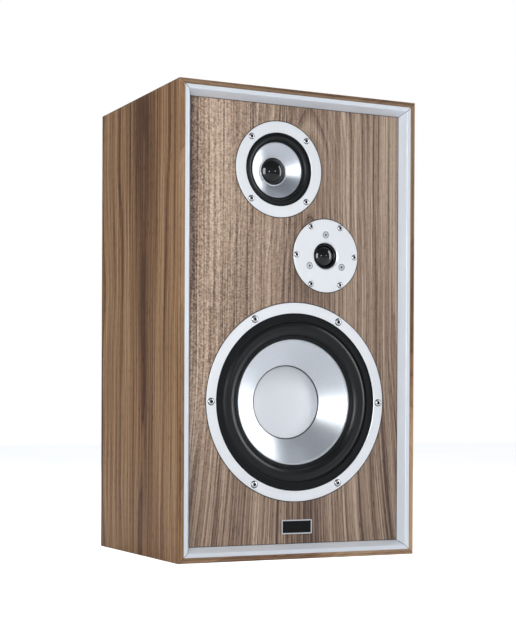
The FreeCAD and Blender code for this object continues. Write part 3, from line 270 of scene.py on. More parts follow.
# %% Room
ROOM_FRONT, ROOM_REAR = 0.38, 0.30
ROOM_LOW, ROOM_HIGH = 1.2, 0.6  # shares of those
world = bpy.data.worlds.new("cyclorama")
bpy.context.scene.world = world
world.use_nodes = True
tree = world.node_tree
tree.nodes.clear()
direction = add(tree, "SeparateXYZ", {0: add(tree, "TexCoord").outputs["Generated"]}).outputs
front_to_back = remap(tree, direction["Y"], -0.5, 0.9, ROOM_FRONT, ROOM_REAR)
low_to_high = remap(tree, direction["Z"], -0.1, 0.7, ROOM_LOW, ROOM_HIGH)
glow = maths(tree, "MULTIPLY", front_to_back, low_to_high)
room = add(tree, "Background", {"Color": colour(240, 247, 255), "Strength": glow})
backdrop = add(tree, "Background", {"Color": (1.0, 1.0, 1.0, 1.0), "Strength": 1.0})
seen = add(tree, "LightPath").outputs["Is Camera Ray"]
either = add(tree, "MixShader", {0: seen, 1: room.outputs[0], 2: backdrop.outputs[0]})
add(tree, "OutputWorld", {"Surface": either.outputs[0]})
print("room:", len(tree.nodes), "nodes")

# %% [markdown]
# ## Lamps
# Two tall softboxes, one at each side, draw the upright streaks on the domes and the fans of light on
# the spun cones. A third hangs overhead. Two small lamps near the camera give the pin points on the
# domes. A fill in front lights the wood and leaves no reflection, and another lights the rear.

# %% Lamps
AIM = Vector((0, 0, 0.32))  # a little above the middle of the front


def softbox(name, spot, size, power, shines=True):
    """A lamp that faces the speaker. One that doesn't shine lights it and leaves no reflection."""
    data = bpy.data.lights.new(name, "AREA")
    data.shape = "RECTANGLE"
    data.size, data.size_y = size
    data.energy = power
    made = bpy.data.objects.new(name, data)
    made.location = spot
    made.rotation_euler = (AIM - made.location).to_track_quat("-Z", "Y").to_euler()
    made.visible_camera = False
    made.visible_glossy = shines
    bpy.context.scene.collection.objects.link(made)


def beside(heading, distance, height):
    """A place at this heading, measured to the right from straight in front."""
    turn = math.radians(heading)
    return (distance * math.sin(turn), -distance * math.cos(turn), height)


softbox("left_softbox", beside(-52, 1.9, 0.45), (0.5, 1.6), 21.0)
softbox("right_softbox", beside(68, 1.9, 0.80), (0.55, 1.7), 18.0)
softbox("overhead_softbox", (0.3, 0.4, 2.0), (1.8, 1.2), 15.0)
softbox("front_fill", beside(-15, 2.6, 1.4), (2.0, 2.0), 18.0, False)
softbox("left_pin_lamp", beside(-21, 1.9, 0.52), (0.13, 0.13), 1.4)
softbox("right_pin_lamp", beside(16, 1.9, 0.52), (0.13, 0.13), 1.2)
softbox("rear_fill", beside(155, 2.4, 1.5), (2.0, 2.0), 34.0)
print("lamps:", ", ".join(f"{lamp.name} {lamp.energy:g} W" for lamp in bpy.data.lights))

# %% [markdown]
# ## Walnut veneer
# Walnut's figure is a slice through a log. Growth rings are tubes round the tree's heart, and a board
# cut beside the heart shows them as straight lines at its edges and as tall pointed arches where the
# cut runs into the curve. So the pattern measures each point's distance from a gently wandering heart
# line. One node group does this, and each board gives it its own heart, slope and direction.

# %% Walnut heart
WALNUT_SOCKETS = {
    "Vector": "Vector", "Heart": "Float", "Depth": "Float", "Lean": "Float", "Wander": "Float",
    "Seed": "Float", "Core": "Float", "Quilt": "Float", "Fibre": "Float",
}
walnut_figure, given, out = new_group(
    "walnut_figure", WALNUT_SOCKETS, {"Color": "Color", "Roughness": "Float", "Height": "Float"}
)
tree = walnut_figure
across, depth, along = add(tree, "SeparateXYZ", {0: given["Vector"]}).outputs
shift = add(tree, "CombineXYZ", {0: given["Seed"], 1: given["Seed"], 2: given["Seed"]}).outputs[0]


def grain_space(x, y, z):
    """A noise place whose unit is chosen for each direction, apart from other noises by the seed."""
    spot = add(tree, "CombineXYZ", {0: x, 1: y, 2: z}).outputs[0]
    return add(tree, "VectorMath", {0: spot, 1: shift}, operation="ADD").outputs[0]


def wandering(spot, detail):
    """How far the heart has strayed here."""
    return maths(tree, "MULTIPLY", about_zero(tree, blur(tree, spot, 1.0, detail)), given["Wander"])


sway_spot = grain_space(maths(tree, "MULTIPLY", across, 4.0), 0.0, maths(tree, "MULTIPLY", along, 3.2))
sway = wandering(sway_spot, 1.5)
swell_spot = grain_space(0.0, maths(tree, "MULTIPLY", across, 5.0), maths(tree, "MULTIPLY", along, 5.5))
swell = wandering(swell_spot, 1.0)
aside = maths(tree, "ADD", maths(tree, "SUBTRACT", across, given["Heart"]), sway)
below = maths(tree, "ADD", maths(tree, "MULTIPLY_ADD", given["Lean"], along, given["Depth"]), depth)
below = maths(tree, "ADD", below, swell)
squared = maths(tree, "ADD", maths(tree, "MULTIPLY", aside, aside), maths(tree, "MULTIPLY", below, below))
radius = maths(tree, "SQRT", squared)
print("walnut heart:", len(tree.nodes), "nodes")

# %% [markdown]
# Each ring has its own tone: broad bands of slow and fast years, fine lines between them, and a dark
# edge of late wood. A stripe of heartwood is darkest where the board comes nearest to the heart.

# %% Walnut rings
LATE_WOOD_RINGS = 120.0  # to a metre


def ring_tone(fineness, drift, detail):
    """A tone that changes from ring to ring and only slowly along the grain."""
    spot = grain_space(maths(tree, "MULTIPLY", radius, fineness), 0.0, maths(tree, "MULTIPLY", along, drift))
    return about_zero(tree, blur(tree, spot, 1.0, detail))


broad = ring_tone(42.0, 0.6, 2.0)
lines = ring_tone(230.0, 1.4, 3.0)
counted, unevenness = maths(tree, "MULTIPLY", radius, LATE_WOOD_RINGS), maths(tree, "MULTIPLY", broad, 6.0)
late = maths(tree, "POWER", maths(tree, "FRACT", maths(tree, "ADD", counted, unevenness)), 5.0)
core = maths(tree, "MULTIPLY", remap(tree, radius, 0.001, 0.02, 1.0, 0.0), given["Core"])
print("walnut rings:", len(tree.nodes), "nodes so far")

# %% [markdown]
# On top lie marks that are long and thin along the grain: fibres, and short dark pores. Curly wood adds
# small square ripples, and wide soft clouds keep a large board from looking even.

# %% Walnut marks
def stretched(width, length):
    """A place for marks this fine across the grain and this long along it, in marks per metre."""
    thin = [maths(tree, "MULTIPLY", way, width) for way in (across, depth)]
    return grain_space(*thin, maths(tree, "MULTIPLY", along, length))


fibre = about_zero(tree, blur(tree, stretched(given["Fibre"], 2.6), 1.0, 2.0))
pores = remap(tree, blur(tree, stretched(1000.0, 80.0), 1.0, 1.0), 0.56, 0.70)
quilt = about_zero(tree, blur(tree, stretched(380.0, 430.0), 1.0, 1.0))
quilt = maths(tree, "MULTIPLY", quilt, given["Quilt"])
cloudy = about_zero(tree, blur(tree, stretched(14.0, 5.0), 1.0, 2.0))
print("walnut marks:", len(tree.nodes), "nodes so far")

# %% [markdown]
# The tones and marks are added up, each with its own weight, and a ramp turns the sum into the browns
# of oiled walnut. Fibres and pores also roughen the surface and give it its relief.

# %% Walnut tone
MIDDLE_TONE = 0.56
tone = maths(tree, "MULTIPLY_ADD", broad, 1.1, MIDDLE_TONE)
for mark, weight in ((lines, 0.8), (fibre, 1.4), (quilt, 1.0), (cloudy, 0.25), (late, -0.2), (pores, -0.2)):
    tone = maths(tree, "MULTIPLY_ADD", mark, weight, tone)
tone = maths(tree, "SUBTRACT", tone, core)
WALNUT_TONES = (
    (0.05, colour(66, 42, 30)), (0.3, colour(103, 74, 52)), (0.5, colour(133, 103, 76)),
    (0.7, colour(154, 124, 96)), (0.95, colour(182, 154, 125)),
)
feed(tree, out["Color"], ramp(tree, tone, WALNUT_TONES))
feed(tree, out["Roughness"], remap(tree, maths(tree, "ADD", fibre, pores), -0.2, 1.0, 0.42, 0.6))
feed(tree, out["Height"], maths(tree, "SUBTRACT", maths(tree, "MULTIPLY_ADD", quilt, 2.0, fibre), pores))
print("walnut figure:", len(tree.nodes), "nodes")

# %% [markdown]
# The boards and the trim bars meet in mitres at the four front corners, and a fine dark line shows
# where the cuts touch. It lies where a point is as far from the nearest side as from the nearest end.

# %% Mitre line
low_corner, high_corner = cad_bounds
half_width, half_height = (high_corner[0] - low_corner[0]) / 2, (high_corner[2] - low_corner[2]) / 2
LINE_CORE, LINE_EDGE = 0.0003, 0.0007  # from the cut, in metres
mitre_line, given, out = new_group(
    "mitre_line", {"Vector": "Vector", "Darkness": "Float"}, {"Shade": "Float"}
)
tree = mitre_line
spot = add(tree, "SeparateXYZ", {0: given["Vector"]}).outputs
from_middle = maths(tree, "ABSOLUTE", maths(tree, "SUBTRACT", spot["Z"], half_height))
gap = maths(tree, "SUBTRACT", from_middle, maths(tree, "ABSOLUTE", spot["X"]))
gap = maths(tree, "SUBTRACT", gap, half_height - half_width)
near_cut = remap(tree, maths(tree, "ABSOLUTE", gap), LINE_CORE, LINE_EDGE, 1.0, 0.0)
feed(tree, out["Shade"], maths(tree, "SUBTRACT", 1.0, maths(tree, "MULTIPLY", near_cut, given["Darkness"])))


def mitred(tree, amount, darkness=0.7):
    """Darkens an amount along the mitres."""
    line = use_group(tree, mitre_line, {"Vector": object_place(tree), "Darkness": darkness})
    return maths(tree, "MULTIPLY", amount, line["Shade"])


print("mitre line", round(2000 * LINE_EDGE, 1), "mm wide")

# %% [markdown]
# The sides, the top and bottom, the baffle and the back are cut from different flitches, so each has
# its own heart line. The grain runs up the sides and the baffle, and along the top and the bottom, so
# it meets at the mitres. The baffle is greyer, and curly towards its upper left, where a painted sheen
# makes it paler.

# %% Veneer
# painted sheen: the share by which the curly part of the baffle is drawn paler
PAINTED_SHEEN_SHARE = 0.26  # how much paler the curly part of the baffle is


def walnut(name, order, heart, depth, lean, wander, seed, core, warmth=1.0, value=1.0, edge=1.0,
           quilt=0.0, flare=0.0, fibre=620.0):
    """Veneer for one board; order names the axes across, into and along its grain."""
    material, tree, surface = new_material(name, Specular_IOR_Level=0.35)
    split = add(tree, "SeparateXYZ", {0: object_place(tree)}).outputs
    ways = [split[axis] for axis in order]
    if flare:
        foot = maths(tree, "POWER", remap(tree, ways[2], 0.0, 0.25, 1.0, 0.0), 1.5)
        ways[0] = maths(tree, "MULTIPLY", ways[0], maths(tree, "MULTIPLY_ADD", foot, -flare, 1.0))
    turned_place = add(tree, "CombineXYZ", dict(enumerate(ways))).outputs[0]
    if quilt:
        side = remap(tree, split["X"], -0.15, 0.03, quilt, quilt * 0.15)
        quilt = maths(tree, "MULTIPLY", side, remap(tree, split["Z"], 0.08, 0.25, 0.2, 1.0))
        # painted sheen: where the baffle is curly, its colour is made paler
        value = maths(tree, "MULTIPLY_ADD", quilt, PAINTED_SHEEN_SHARE, value)
    values = {"Vector": turned_place, "Heart": heart, "Depth": depth, "Lean": lean, "Wander": wander}
    values.update({"Seed": seed, "Core": core, "Quilt": quilt, "Fibre": fibre})
    figure = use_group(tree, walnut_figure, values)
    # painted shade: faces in front of y = -0.1374 m, the boards' front edges, are drawn darker by the factor
    # edge
    value = maths(tree, "MULTIPLY", remap(tree, split["Y"], -0.1378, -0.1374, edge, 1.0), value)
    if edge < 1.0:
        value = mitred(tree, value)
    tint = add(tree, "HueSaturation", {"Saturation": warmth, "Value": value, "Color": figure["Color"]})
    feed(tree, surface["Base Color"], tint.outputs[0])
    feed(tree, surface["Roughness"], figure["Roughness"])
    feed(tree, surface["Normal"], bump(tree, figure["Height"], 0.00015))
    return material


def finish(material, *names):
    """Gives these design nodes a finish."""
    for name in names:
        for slot in nodes[name].material_slots:
            slot.material = material


print("veneer figure uses", len(WALNUT_SOCKETS), "values for each board")

# %% [markdown]
# The two sides are neighbours in one flitch, and so are the top and the bottom. Each board still has
# its own seed, because no two leaves of veneer are quite the same.

# %% Veneered boards
# edge sets a painted shade on each board's front faces
side_leaf = dict(lean=0.006, wander=0.055, core=0.42, warmth=1.1, value=1.14, edge=0.74, fibre=430.0)
level_leaf = dict(lean=0.02, wander=0.05, core=0.2, value=1.1, fibre=400.0)
boards = {
    "left_side_panel": walnut("walnut_side", "YXZ", heart=-0.016, depth=0.175, seed=3.1, **side_leaf),
    "right_side_panel": walnut(
        "walnut_other_side", "YXZ", heart=-0.02, depth=-0.175, seed=8.7, **side_leaf
    ),
    "top_panel": walnut("walnut_top", "YZX", heart=0.05, depth=-0.55, seed=5.2, edge=0.6, **level_leaf),
    "bottom_panel": walnut(
        "walnut_bottom", "YZX", heart=0.04, depth=0.05, seed=6.4, edge=0.8, **level_leaf
    ),
    "front_baffle": walnut(
        "walnut_baffle", "XYZ", heart=0.012, depth=0.130, lean=0.06, wander=0.05, seed=1.3, core=0.12,
        warmth=0.74, value=0.99, quilt=1.15, flare=0.16,
    ),
    "back_panel": walnut(
        "walnut_back", "XYZ", heart=-0.03, depth=-0.10, lean=0.10, wander=0.05, seed=9.9, core=0.15
    ),
}
for node, veneer in boards.items():
    finish(veneer, node)
    print(node, "wears", veneer.name)

# %% [markdown]
# ## Metal finishes
# Three silvers meet here. The trim bars are satin anodised, with hair lines along their length. The
# rings and the tweeter's plate are bead blasted, so they are even and soft. The cones are spun. All of
# them share a fine grit and a slow smudge, which change the shade and the gloss a little.

# %% Shared metal texture
metal_skin, given, out = new_group(
    "metal_skin", {"Vector": "Vector", "Fineness": "Float", "Spread": "Float"},
    {"Shade": "Float", "Roughness": "Float", "Height": "Float"},
)
tree = metal_skin
grit = blur(tree, given["Vector"], given["Fineness"], 3.0)
smudge = blur(tree, given["Vector"], maths(tree, "MULTIPLY", given["Fineness"], 0.012), 2.0)
fine_shade = remap(tree, grit, 0.2, 0.8, 0.96, 1.02)
slow_shade = remap(tree, smudge, 0.3, 0.7, -0.012, 0.012)
feed(tree, out["Shade"], maths(tree, "ADD", fine_shade, slow_shade))
uneven = maths(tree, "SUBTRACT", maths(tree, "ADD", grit, smudge), 1.0)
feed(tree, out["Roughness"], maths(tree, "MULTIPLY", uneven, given["Spread"]))
feed(tree, out["Height"], grit)
print("metal skin:", len(tree.nodes), "nodes")

# %% [markdown]
# One recipe covers the plain metals. Grain is drawn out along an axis for hair lines. The sockets of
# screws and the gaps beside rings lie deeper than the face, so a painted shade makes what lies behind a
# given depth almost black.

# %% Plain metals
def metal(name, shade, roughness, stretch=(1, 1, 1), fineness=900.0, spread=0.12, painted_shade_depth=None,
          relief=0.00001, bare=1.0, cut=False):
    """A metal finish. stretch draws its grain out along an axis, what lies behind the given depth is
    darkened by a painted shade, bare is lower where a matt coat covers the metal, and cut draws its mitres."""
    material, tree, surface = new_material(name, Metallic=bare)
    place_here = object_place(tree)
    spot = add(tree, "VectorMath", {0: place_here, 1: stretch}, operation="MULTIPLY").outputs[0]
    skin = use_group(tree, metal_skin, {"Vector": spot, "Fineness": fineness, "Spread": spread})
    shine = skin["Shade"]
    # painted shade: what lies deeper than the given depth is drawn almost black
    if painted_shade_depth is not None:
        depth = add(tree, "SeparateXYZ", {0: place_here}).outputs["Y"]
        shine = maths(tree, "MULTIPLY", shine, remap(tree, depth, painted_shade_depth, painted_shade_depth + 0.0003, 1.0, 0.08))
    if cut:
        shine = mitred(tree, shine, 0.8)
    feed(tree, surface["Base Color"], tinted(tree, shade, shine))
    feed(tree, surface["Roughness"], maths(tree, "ADD", skin["Roughness"], roughness))
    feed(tree, surface["Normal"], bump(tree, skin["Height"], relief))
    return material


def front_of(node, behind):
    """A depth this far behind a node's front, in millimetres."""
    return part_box(node)[0].y + behind * 0.001


HAIR_LINE = 0.02  # grain is drawn out to fifty times its width
# painted shade starts this far behind each screw head's front, in millimetres
SOCKET_DEPTH = 0.45
trim_silver = colour(220, 225, 232)
ring_silver = colour(240, 242, 245)
for way, stretch in (("upright", (1, 1, HAIR_LINE)), ("level", (HAIR_LINE, 1, 1))):
    satin = metal("satin_trim_" + way, trim_silver, 0.4, stretch, 1500.0, bare=0.4, cut=True)
    finish(satin, "trim_bars_" + way)
# painted shade: each ring's sides and screw seats, deeper than its front by the depth given, are drawn
# almost black
for node, edge_depth in (("woofer_trim_ring", 0.35), ("mid_trim_ring", 0.35), ("tweeter_faceplate", 1.7)):
    painted_shade_from = front_of(node, edge_depth)
    blasted = metal(
        "blasted_" + node, ring_silver, 0.42, fineness=2600.0, spread=0.08, painted_shade_depth=painted_shade_from, bare=0.6
    )
    finish(blasted, node)
    print(node, "is dark behind", round(painted_shade_from * 1000, 2), "mm")
for node in ("woofer_screws", "small_driver_screws"):
    painted_shade_depth = front_of(node, SOCKET_DEPTH)
    finish(metal("chrome_" + node, colour(236, 236, 238), 0.16, fineness=400.0, painted_shade_depth=painted_shade_depth), node)
finish(metal("bezel_chrome", colour(225, 225, 228), 0.2, fineness=400.0), "badge_bezel")
# painted shade in the seats of the flush screws, 0.2 mm behind their heads' front
flush = metal("flush_screw_silver", colour(230, 232, 236), 0.3, painted_shade_depth=front_of("tweeter_plate_screws", 0.2))
finish(flush, "tweeter_plate_screws")

# %% [markdown]
# A spun cone is pressed over a turning mould with a blunt tool, which leaves circular marks. They
# scatter light outwards from the centre, and that draws bright fans. It needs an anisotropic shader,
# whose direction points away from the driver's axis.

# %% Spun metal
def spun(name, node, shade, roughness, anisotropy, pitch):
    """Metal spun round a driver's axis, with turning marks at this pitch."""
    material, tree, surface = new_material(name, Metallic=1.0, Anisotropic=anisotropy)
    lo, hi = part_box(node)
    from_axis = {0: object_place(tree), 1: tuple((lo + hi) / 2)}
    spot = add(tree, "VectorMath", from_axis, operation="SUBTRACT").outputs[0]
    outward = add(tree, "VectorMath", {0: spot, 1: (1.0, 0.0, 1.0)}, operation="MULTIPLY").outputs[0]
    reach = add(tree, "VectorMath", {0: outward}, operation="LENGTH").outputs["Value"]
    counted = add(tree, "CombineXYZ", {0: maths(tree, "MULTIPLY", reach, 1.0 / pitch)}).outputs[0]
    marks = blur(tree, counted, 1.0, 3.0)
    skin = use_group(tree, metal_skin, {"Vector": spot, "Fineness": 300.0, "Spread": 0.06})
    shine = maths(tree, "MULTIPLY", skin["Shade"], remap(tree, marks, 0.25, 0.75, 0.95, 1.02))
    feed(tree, surface["Base Color"], tinted(tree, shade, shine))
    feed(tree, surface["Roughness"], maths(tree, "MULTIPLY_ADD", about_zero(tree, marks), 0.12, roughness))
    feed(tree, surface["Tangent"], outward)
    feed(tree, surface["Normal"], bump(tree, marks, 0.000012))
    return material


woofer_spun = spun("spun_woofer_cone", "woofer_cone", colour(238, 242, 247), 0.42, 0.74, 0.0004)
mid_spun = spun("spun_mid_cone", "mid_cone", colour(228, 232, 239), 0.40, 0.74, 0.0003)
print("spun finishes:", woofer_spun.name, mid_spun.name)

# %% [markdown]
# ## Rubber, plastics and the rest
# Moulded parts share one effect: a faint pebble and a slow drift of gloss, as a mould leaves. Rubber has
# more of it and less gloss, and the domes have hardly any.

# %% Moulded skin
moulded_skin, given, out = new_group(
    "moulded_skin", {"Vector": "Vector", "Fineness": "Float"},
    {"Shade": "Float", "Drift": "Float", "Height": "Float"},
)
tree = moulded_skin
pebble = blur(tree, given["Vector"], given["Fineness"], 2.0)
drift = blur(tree, given["Vector"], maths(tree, "MULTIPLY", given["Fineness"], 0.03), 2.0)
feed(tree, out["Shade"], remap(tree, maths(tree, "ADD", pebble, drift), 0.7, 1.3, 0.86, 1.12))
feed(tree, out["Drift"], about_zero(tree, drift))
feed(tree, out["Height"], pebble)


def moulded(name, shade, roughness, fineness=900.0, relief=0.00003, drift=0.15, **more):
    """Plastic, rubber, lacquer or stone."""
    material, tree, surface = new_material(name, **more)
    skin = use_group(tree, moulded_skin, {"Vector": object_place(tree), "Fineness": fineness})
    feed(tree, surface["Base Color"], tinted(tree, shade, skin["Shade"]))
    feed(tree, surface["Roughness"], maths(tree, "MULTIPLY_ADD", skin["Drift"], drift, roughness))
    feed(tree, surface["Normal"], bump(tree, skin["Height"], relief))
    return material


print("moulded skin:", len(moulded_skin.nodes), "nodes")

# %% [markdown]
# The same recipe with other values covers what shows at the front: the surrounds' rubber, the domes'
# gloss, the gasket and the badge, which is a plain dark plate.

# %% Front plastics and rubber
DULL, SHINY = dict(Specular_IOR_Level=0.2), dict(Specular_IOR_Level=0.6)
soot = colour(9, 11, 14)
surround_rubber = moulded("surround_rubber", soot, 0.33, 1400.0, 0.00002, Specular_IOR_Level=0.4)
gloss_black = moulded("gloss_black", colour(3, 3, 4), 0.04, 60.0, 0.0, 0.02, **SHINY)
finish(moulded("gasket_rubber", soot, 0.55, 2400.0, 0.00004, **DULL), "woofer_front_gasket")
finish(moulded("badge_lacquer", colour(6, 6, 7), 0.12, 120.0, 0.0, 0.05, **DULL), "badge_plate")
print("front finishes:", surround_rubber.name, gloss_black.name)

# %% [markdown]
# Behind the front are the terminals, the baskets and magnets, and the crossover. Each finish is given
# as its shade, its roughness, the fineness of its pebble, its relief, and the parts that wear it.

# %% Rear and inner finishes
MOULDED_PARTS = {
    "cup_plastic": ((24, 24, 25), 0.45, 1700.0, 0.00005, "terminal_cup driver_tag_strips mid_rear_chamber"),
    "cap_black": ((20, 20, 21), 0.3, 800.0, 0.00002, "black_post_cap"),
    "cap_red": ((165, 18, 20), 0.3, 800.0, 0.00002, "red_post_cap"),
    "powder_coat": ((26, 26, 27), 0.6, 1300.0, 0.00006, "woofer_basket mid_basket"),
    "ground_ferrite": ((62, 62, 64), 0.7, 2000.0, 0.00006, "woofer_magnet mid_magnet tweeter_magnet"),
    "board_laminate": ((40, 92, 58), 0.4, 700.0, 0.00002, "crossover_board"),
    "resistor_ceramic": ((228, 224, 212), 0.75, 1800.0, 0.00006, "crossover_resistors"),
    "spacer_nylon": ((230, 228, 220), 0.4, 900.0, 0.00003, "crossover_spacers"),
    "lead_jacket": ((36, 36, 40), 0.4, 1200.0, 0.00002, "internal_leads"),
}
for name, (shade, roughness, fineness, relief, parts) in MOULDED_PARTS.items():
    finish(moulded(name, colour(*shade), roughness, fineness, relief), *parts.split())
film = moulded("capacitor_film", colour(206, 148, 38), 0.28, 500.0, 0.00003, Coat_Weight=0.4)
finish(film, "crossover_capacitors")
print(len(MOULDED_PARTS) + 1, "moulded finishes behind the front")

# %% [markdown]
# The posts are gold plated against tarnish, the magnets' steel is zinc plated, and the coils are wound
# from copper wire, whose turns show as fine lines round each winding.

# %% Plated and wound metals
gold = metal("gold_plate", colour(236, 200, 118), 0.2)
finish(gold, "post_shafts", "post_nuts", "red_clamp_collar", "black_clamp_collar")
zinc = metal("zinc_plate", colour(196, 198, 196), 0.34, fineness=160.0)
for driver in ("woofer", "mid", "tweeter"):
    finish(zinc, driver + "_top_plate", driver + "_pole_yoke")
finish(metal("black_oxide", colour(46, 46, 48), 0.34), "cup_screws")
copper = metal("copper_winding", colour(196, 112, 70), 0.3, (0.02, 1, 0.02), 4000.0, relief=0.0001)
finish(copper, "crossover_coils", "woofer_voice_coil", "mid_voice_coil", "tweeter_voice_coil")
print("metals behind the front:", gold.name, zinc.name, copper.name)

# %% [markdown]
# ## Turned parts
# Surrounds, cones, domes and caps are round, so each is an outline turned about its driver's axis. The
# outline holds only corners and the middles of curves. Spinning one vertex draws a curve, and spinning
# the whole outline makes the part. The same numbers as the design's keep the fits, and the beads,
# ribs and rounded edges that a solid model leaves out are added here.

# %% Axes
MM = 0.001
ROUND_PARTS = {"woofer": "woofer_trim_ring", "mid": "mid_trim_ring", "tweeter": "tweeter_faceplate"}
face_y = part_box("front_baffle")[0].y
axes = {}
for driver, round_part in ROUND_PARTS.items():
    lo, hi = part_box(round_part)
    axes[driver] = Vector(((lo.x + hi.x) / 2, face_y, (lo.z + hi.z) / 2))
    print(driver, "axis at", [round(v * 1000, 1) for v in axes[driver]], "mm")

# %% [markdown]
# An outline is drawn flat, as a draughtsman would: straight runs to corners, and arcs through a middle
# point to an end. The circle through three points gives an arc its centre and its turn.

# %% Outlines
def bend(bm, start, middle, end, steps):
    """Carries an outline on from its last vertex, round the circle through two more points."""
    first = start.co.xy
    to_middle, to_end = middle - first, end - first
    near, far = to_middle.length_squared, to_end.length_squared
    across = Vector((to_end.y * near - to_middle.y * far, to_middle.x * far - to_end.x * near))
    centre = first + across / (2 * to_middle.cross(to_end))
    rays = [point - centre for point in (first, middle, end)]
    turn = sum(math.atan2(p.cross(q), p.dot(q)) for p, q in zip(rays, rays[1:]))
    made = bmesh.ops.spin(
        bm, geom=[start], cent=(*centre, 0.0), axis=(0, 0, 1), angle=turn, steps=steps, use_duplicate=False
    )
    last = next(part for part in made["geom_last"] if isinstance(part, bmesh.types.BMVert))
    assert (last.co.xy - end).length < 1e-5, "a curve missed its end"
    return last


def draw_outline(bm, path, curve_steps=10):
    """Draws an outline of radius and depth in millimetres; four numbers curve through the first two."""
    first = last = bm.verts.new((path[0][0] * MM, path[0][1] * MM, 0.0))
    for step in path[1:]:
        end = Vector(step[-2:]) * MM
        if len(step) == 4:
            last = bend(bm, last, Vector(step[:2]) * MM, end, curve_steps)
        else:
            corner = bm.verts.new((*end, 0.0))
            bm.edges.new((last, corner))
            last = corner
    if first.co.x or last.co.x:
        bm.edges.new((last, first))


print("outlines are drawn in millimetres of", MM, "m")

# %% [markdown]
# A full turn closes on itself, and an outline that starts on the axis closes at a pole, so doubles are
# merged before the faces are turned outwards. Edges sharper than a set angle stay crisp.

# %% Turning
SHARP = math.radians(32)


def smooth(bm):
    """Smooth shading with crisp corners."""
    for face in bm.faces:
        face.smooth = True
    for edge in bm.edges:
        edge.smooth = edge.calc_face_angle(0.0) < SHARP


def turned(name, driver, path, body, material, stands_for, steps=160, curve_steps=10):
    """Turns an outline about a driver's axis and gives it its body and finish."""
    bm = bmesh.new()
    draw_outline(bm, path, curve_steps)
    bmesh.ops.spin(
        bm, geom=bm.verts[:] + bm.edges[:], cent=(0, 0, 0), axis=(0, 1, 0), angle=math.tau,
        steps=steps, use_merge=True, use_duplicate=False,
    )
    bmesh.ops.remove_doubles(bm, verts=bm.verts, dist=1e-7)
    bmesh.ops.recalc_face_normals(bm, faces=bm.faces)
    bmesh.ops.translate(bm, verts=bm.verts, vec=axes[driver])
    smooth(bm)
    made = place(name, bm)
    made.data.materials.append(material)
    if body:
        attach(made, body)
    if stands_for:
        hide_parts(*stands_for)
    print(name, len(made.data.polygons), "faces")
    return made


print("edges over", round(math.degrees(SHARP)), "degrees stay crisp")

# %% [markdown]
# A surround or a spider joins a moving cone to a still frame. So each is a blend between two bodies:
# it follows the cone at its inner edge, stays with the frame at its outer edge, and rolls between.
# The share of each is set by the distance from the driver's axis.

# %% Flexible joints
BLEND = "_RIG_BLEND"
MOVING = {"woofer": "woofer_cone_assembly", "mid": "mid_cone_assembly", "tweeter": "tweeter_dome_assembly"}


def flex(piece, driver, inner, outer):
    """Blends a flexible part between the cabinet at its outer radius and its cone at its inner one."""
    axis = axes[driver]
    start, end = axis + Vector((outer * MM, 0, 0)), axis + Vector((inner * MM, 0, 0))
    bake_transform(piece, "cabinet", MOVING[driver], start=tuple(start), end=tuple(end))
    share = piece.data.attributes[BLEND]
    for vertex in piece.data.vertices:
        away = (vertex.co.xz - axis.xz).length / MM
        near = min(max((outer - away) / (outer - inner), 0.0), 1.0)
        share.data[vertex.index].value = near * near * (3 - 2 * near)
    print(piece.name, "flexes from", outer, "mm in to", inner, "mm")


def copy_of(name, node, material):
    """A merged copy of a design mesh."""
    bm = bmesh.new()
    bm.from_mesh(nodes[node].data)
    bmesh.ops.remove_doubles(bm, verts=bm.verts, dist=1e-7)
    smooth(bm)
    made = place(name, bm)
    made.data.materials.clear()
    made.data.materials.append(material)
    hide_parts(node)
    return made


print("flexible joints move with", ", ".join(MOVING.values()))

# %% [markdown]
# ## The woofer
# A wide half roll of rubber lets the cone travel. Its inner flange has two fine ribs where it is glued
# down, and its outer edge drops into a groove beside the gasket. The aluminium cone has a rolled bead
# at its rim, and the satin cap is set into it with a thin dark bead that is partly glue and partly a
# painted shadow in the seam.

# %% Woofer parts
cap_satin = metal("satin_cap", colour(246, 248, 252), 0.5, fineness=2200.0, spread=0.06)
glue_and_seam_shadow = moulded("cap_glue_and_seam_shadow", colour(34, 36, 38), 0.5, 1500.0, 0.00003)
WOOFER_SLOPE, MID_SLOPE = 0.692, 0.624
woofer_roll = turned(
    "woofer_half_roll", "woofer",
    (
        (81.0, 7.0), (81.0, 6.2), (81.6, 5.8), (82.3, 5.8), (82.9, 5.2, 83.5, 5.8), (84.1, 5.8),
        (84.7, 5.2, 85.3, 5.8), (86.0, 5.8), (94.75, 0.0, 103.5, 2.4), (114.4, 2.4), (114.4, 3.6),
        (102.3, 3.6), (94.75, 1.2, 87.2, 7.0),
    ),
    None, surround_rubber, ["woofer_surround"], 192, 16,
)
flex(woofer_roll, "woofer", 86.0, 103.5)


def cone_depth(radius, rim, rim_depth, slope):
    return rim_depth + (rim - radius) * slope


def woofer_at(radius):
    return cone_depth(radius, 81.0, 7.0, WOOFER_SLOPE)


turned(
    "woofer_spun_cone", "woofer",
    (
        (25.7, woofer_at(25.7)), (78.2, woofer_at(78.2)), (79.3, woofer_at(79.3) - 1.0, 80.5, 7.1),
        (86.0, 7.0), (86.0, 8.8), (81.5, 8.8), (25.7, woofer_at(25.7) + 2.19),
    ),
    "woofer_cone_assembly", woofer_spun, ["woofer_cone"], 192,
)
turned(
    "woofer_cap_dish", "woofer",
    ((0.0, 23.39), (24.0, 25.17, 46.7, 30.2), (47.2, 30.39), (46.4, 30.95), (24.0, 25.97, 0.0, 24.19)),
    "woofer_cone_assembly", cap_satin, ["woofer_dust_cap"], 160, 20,
)
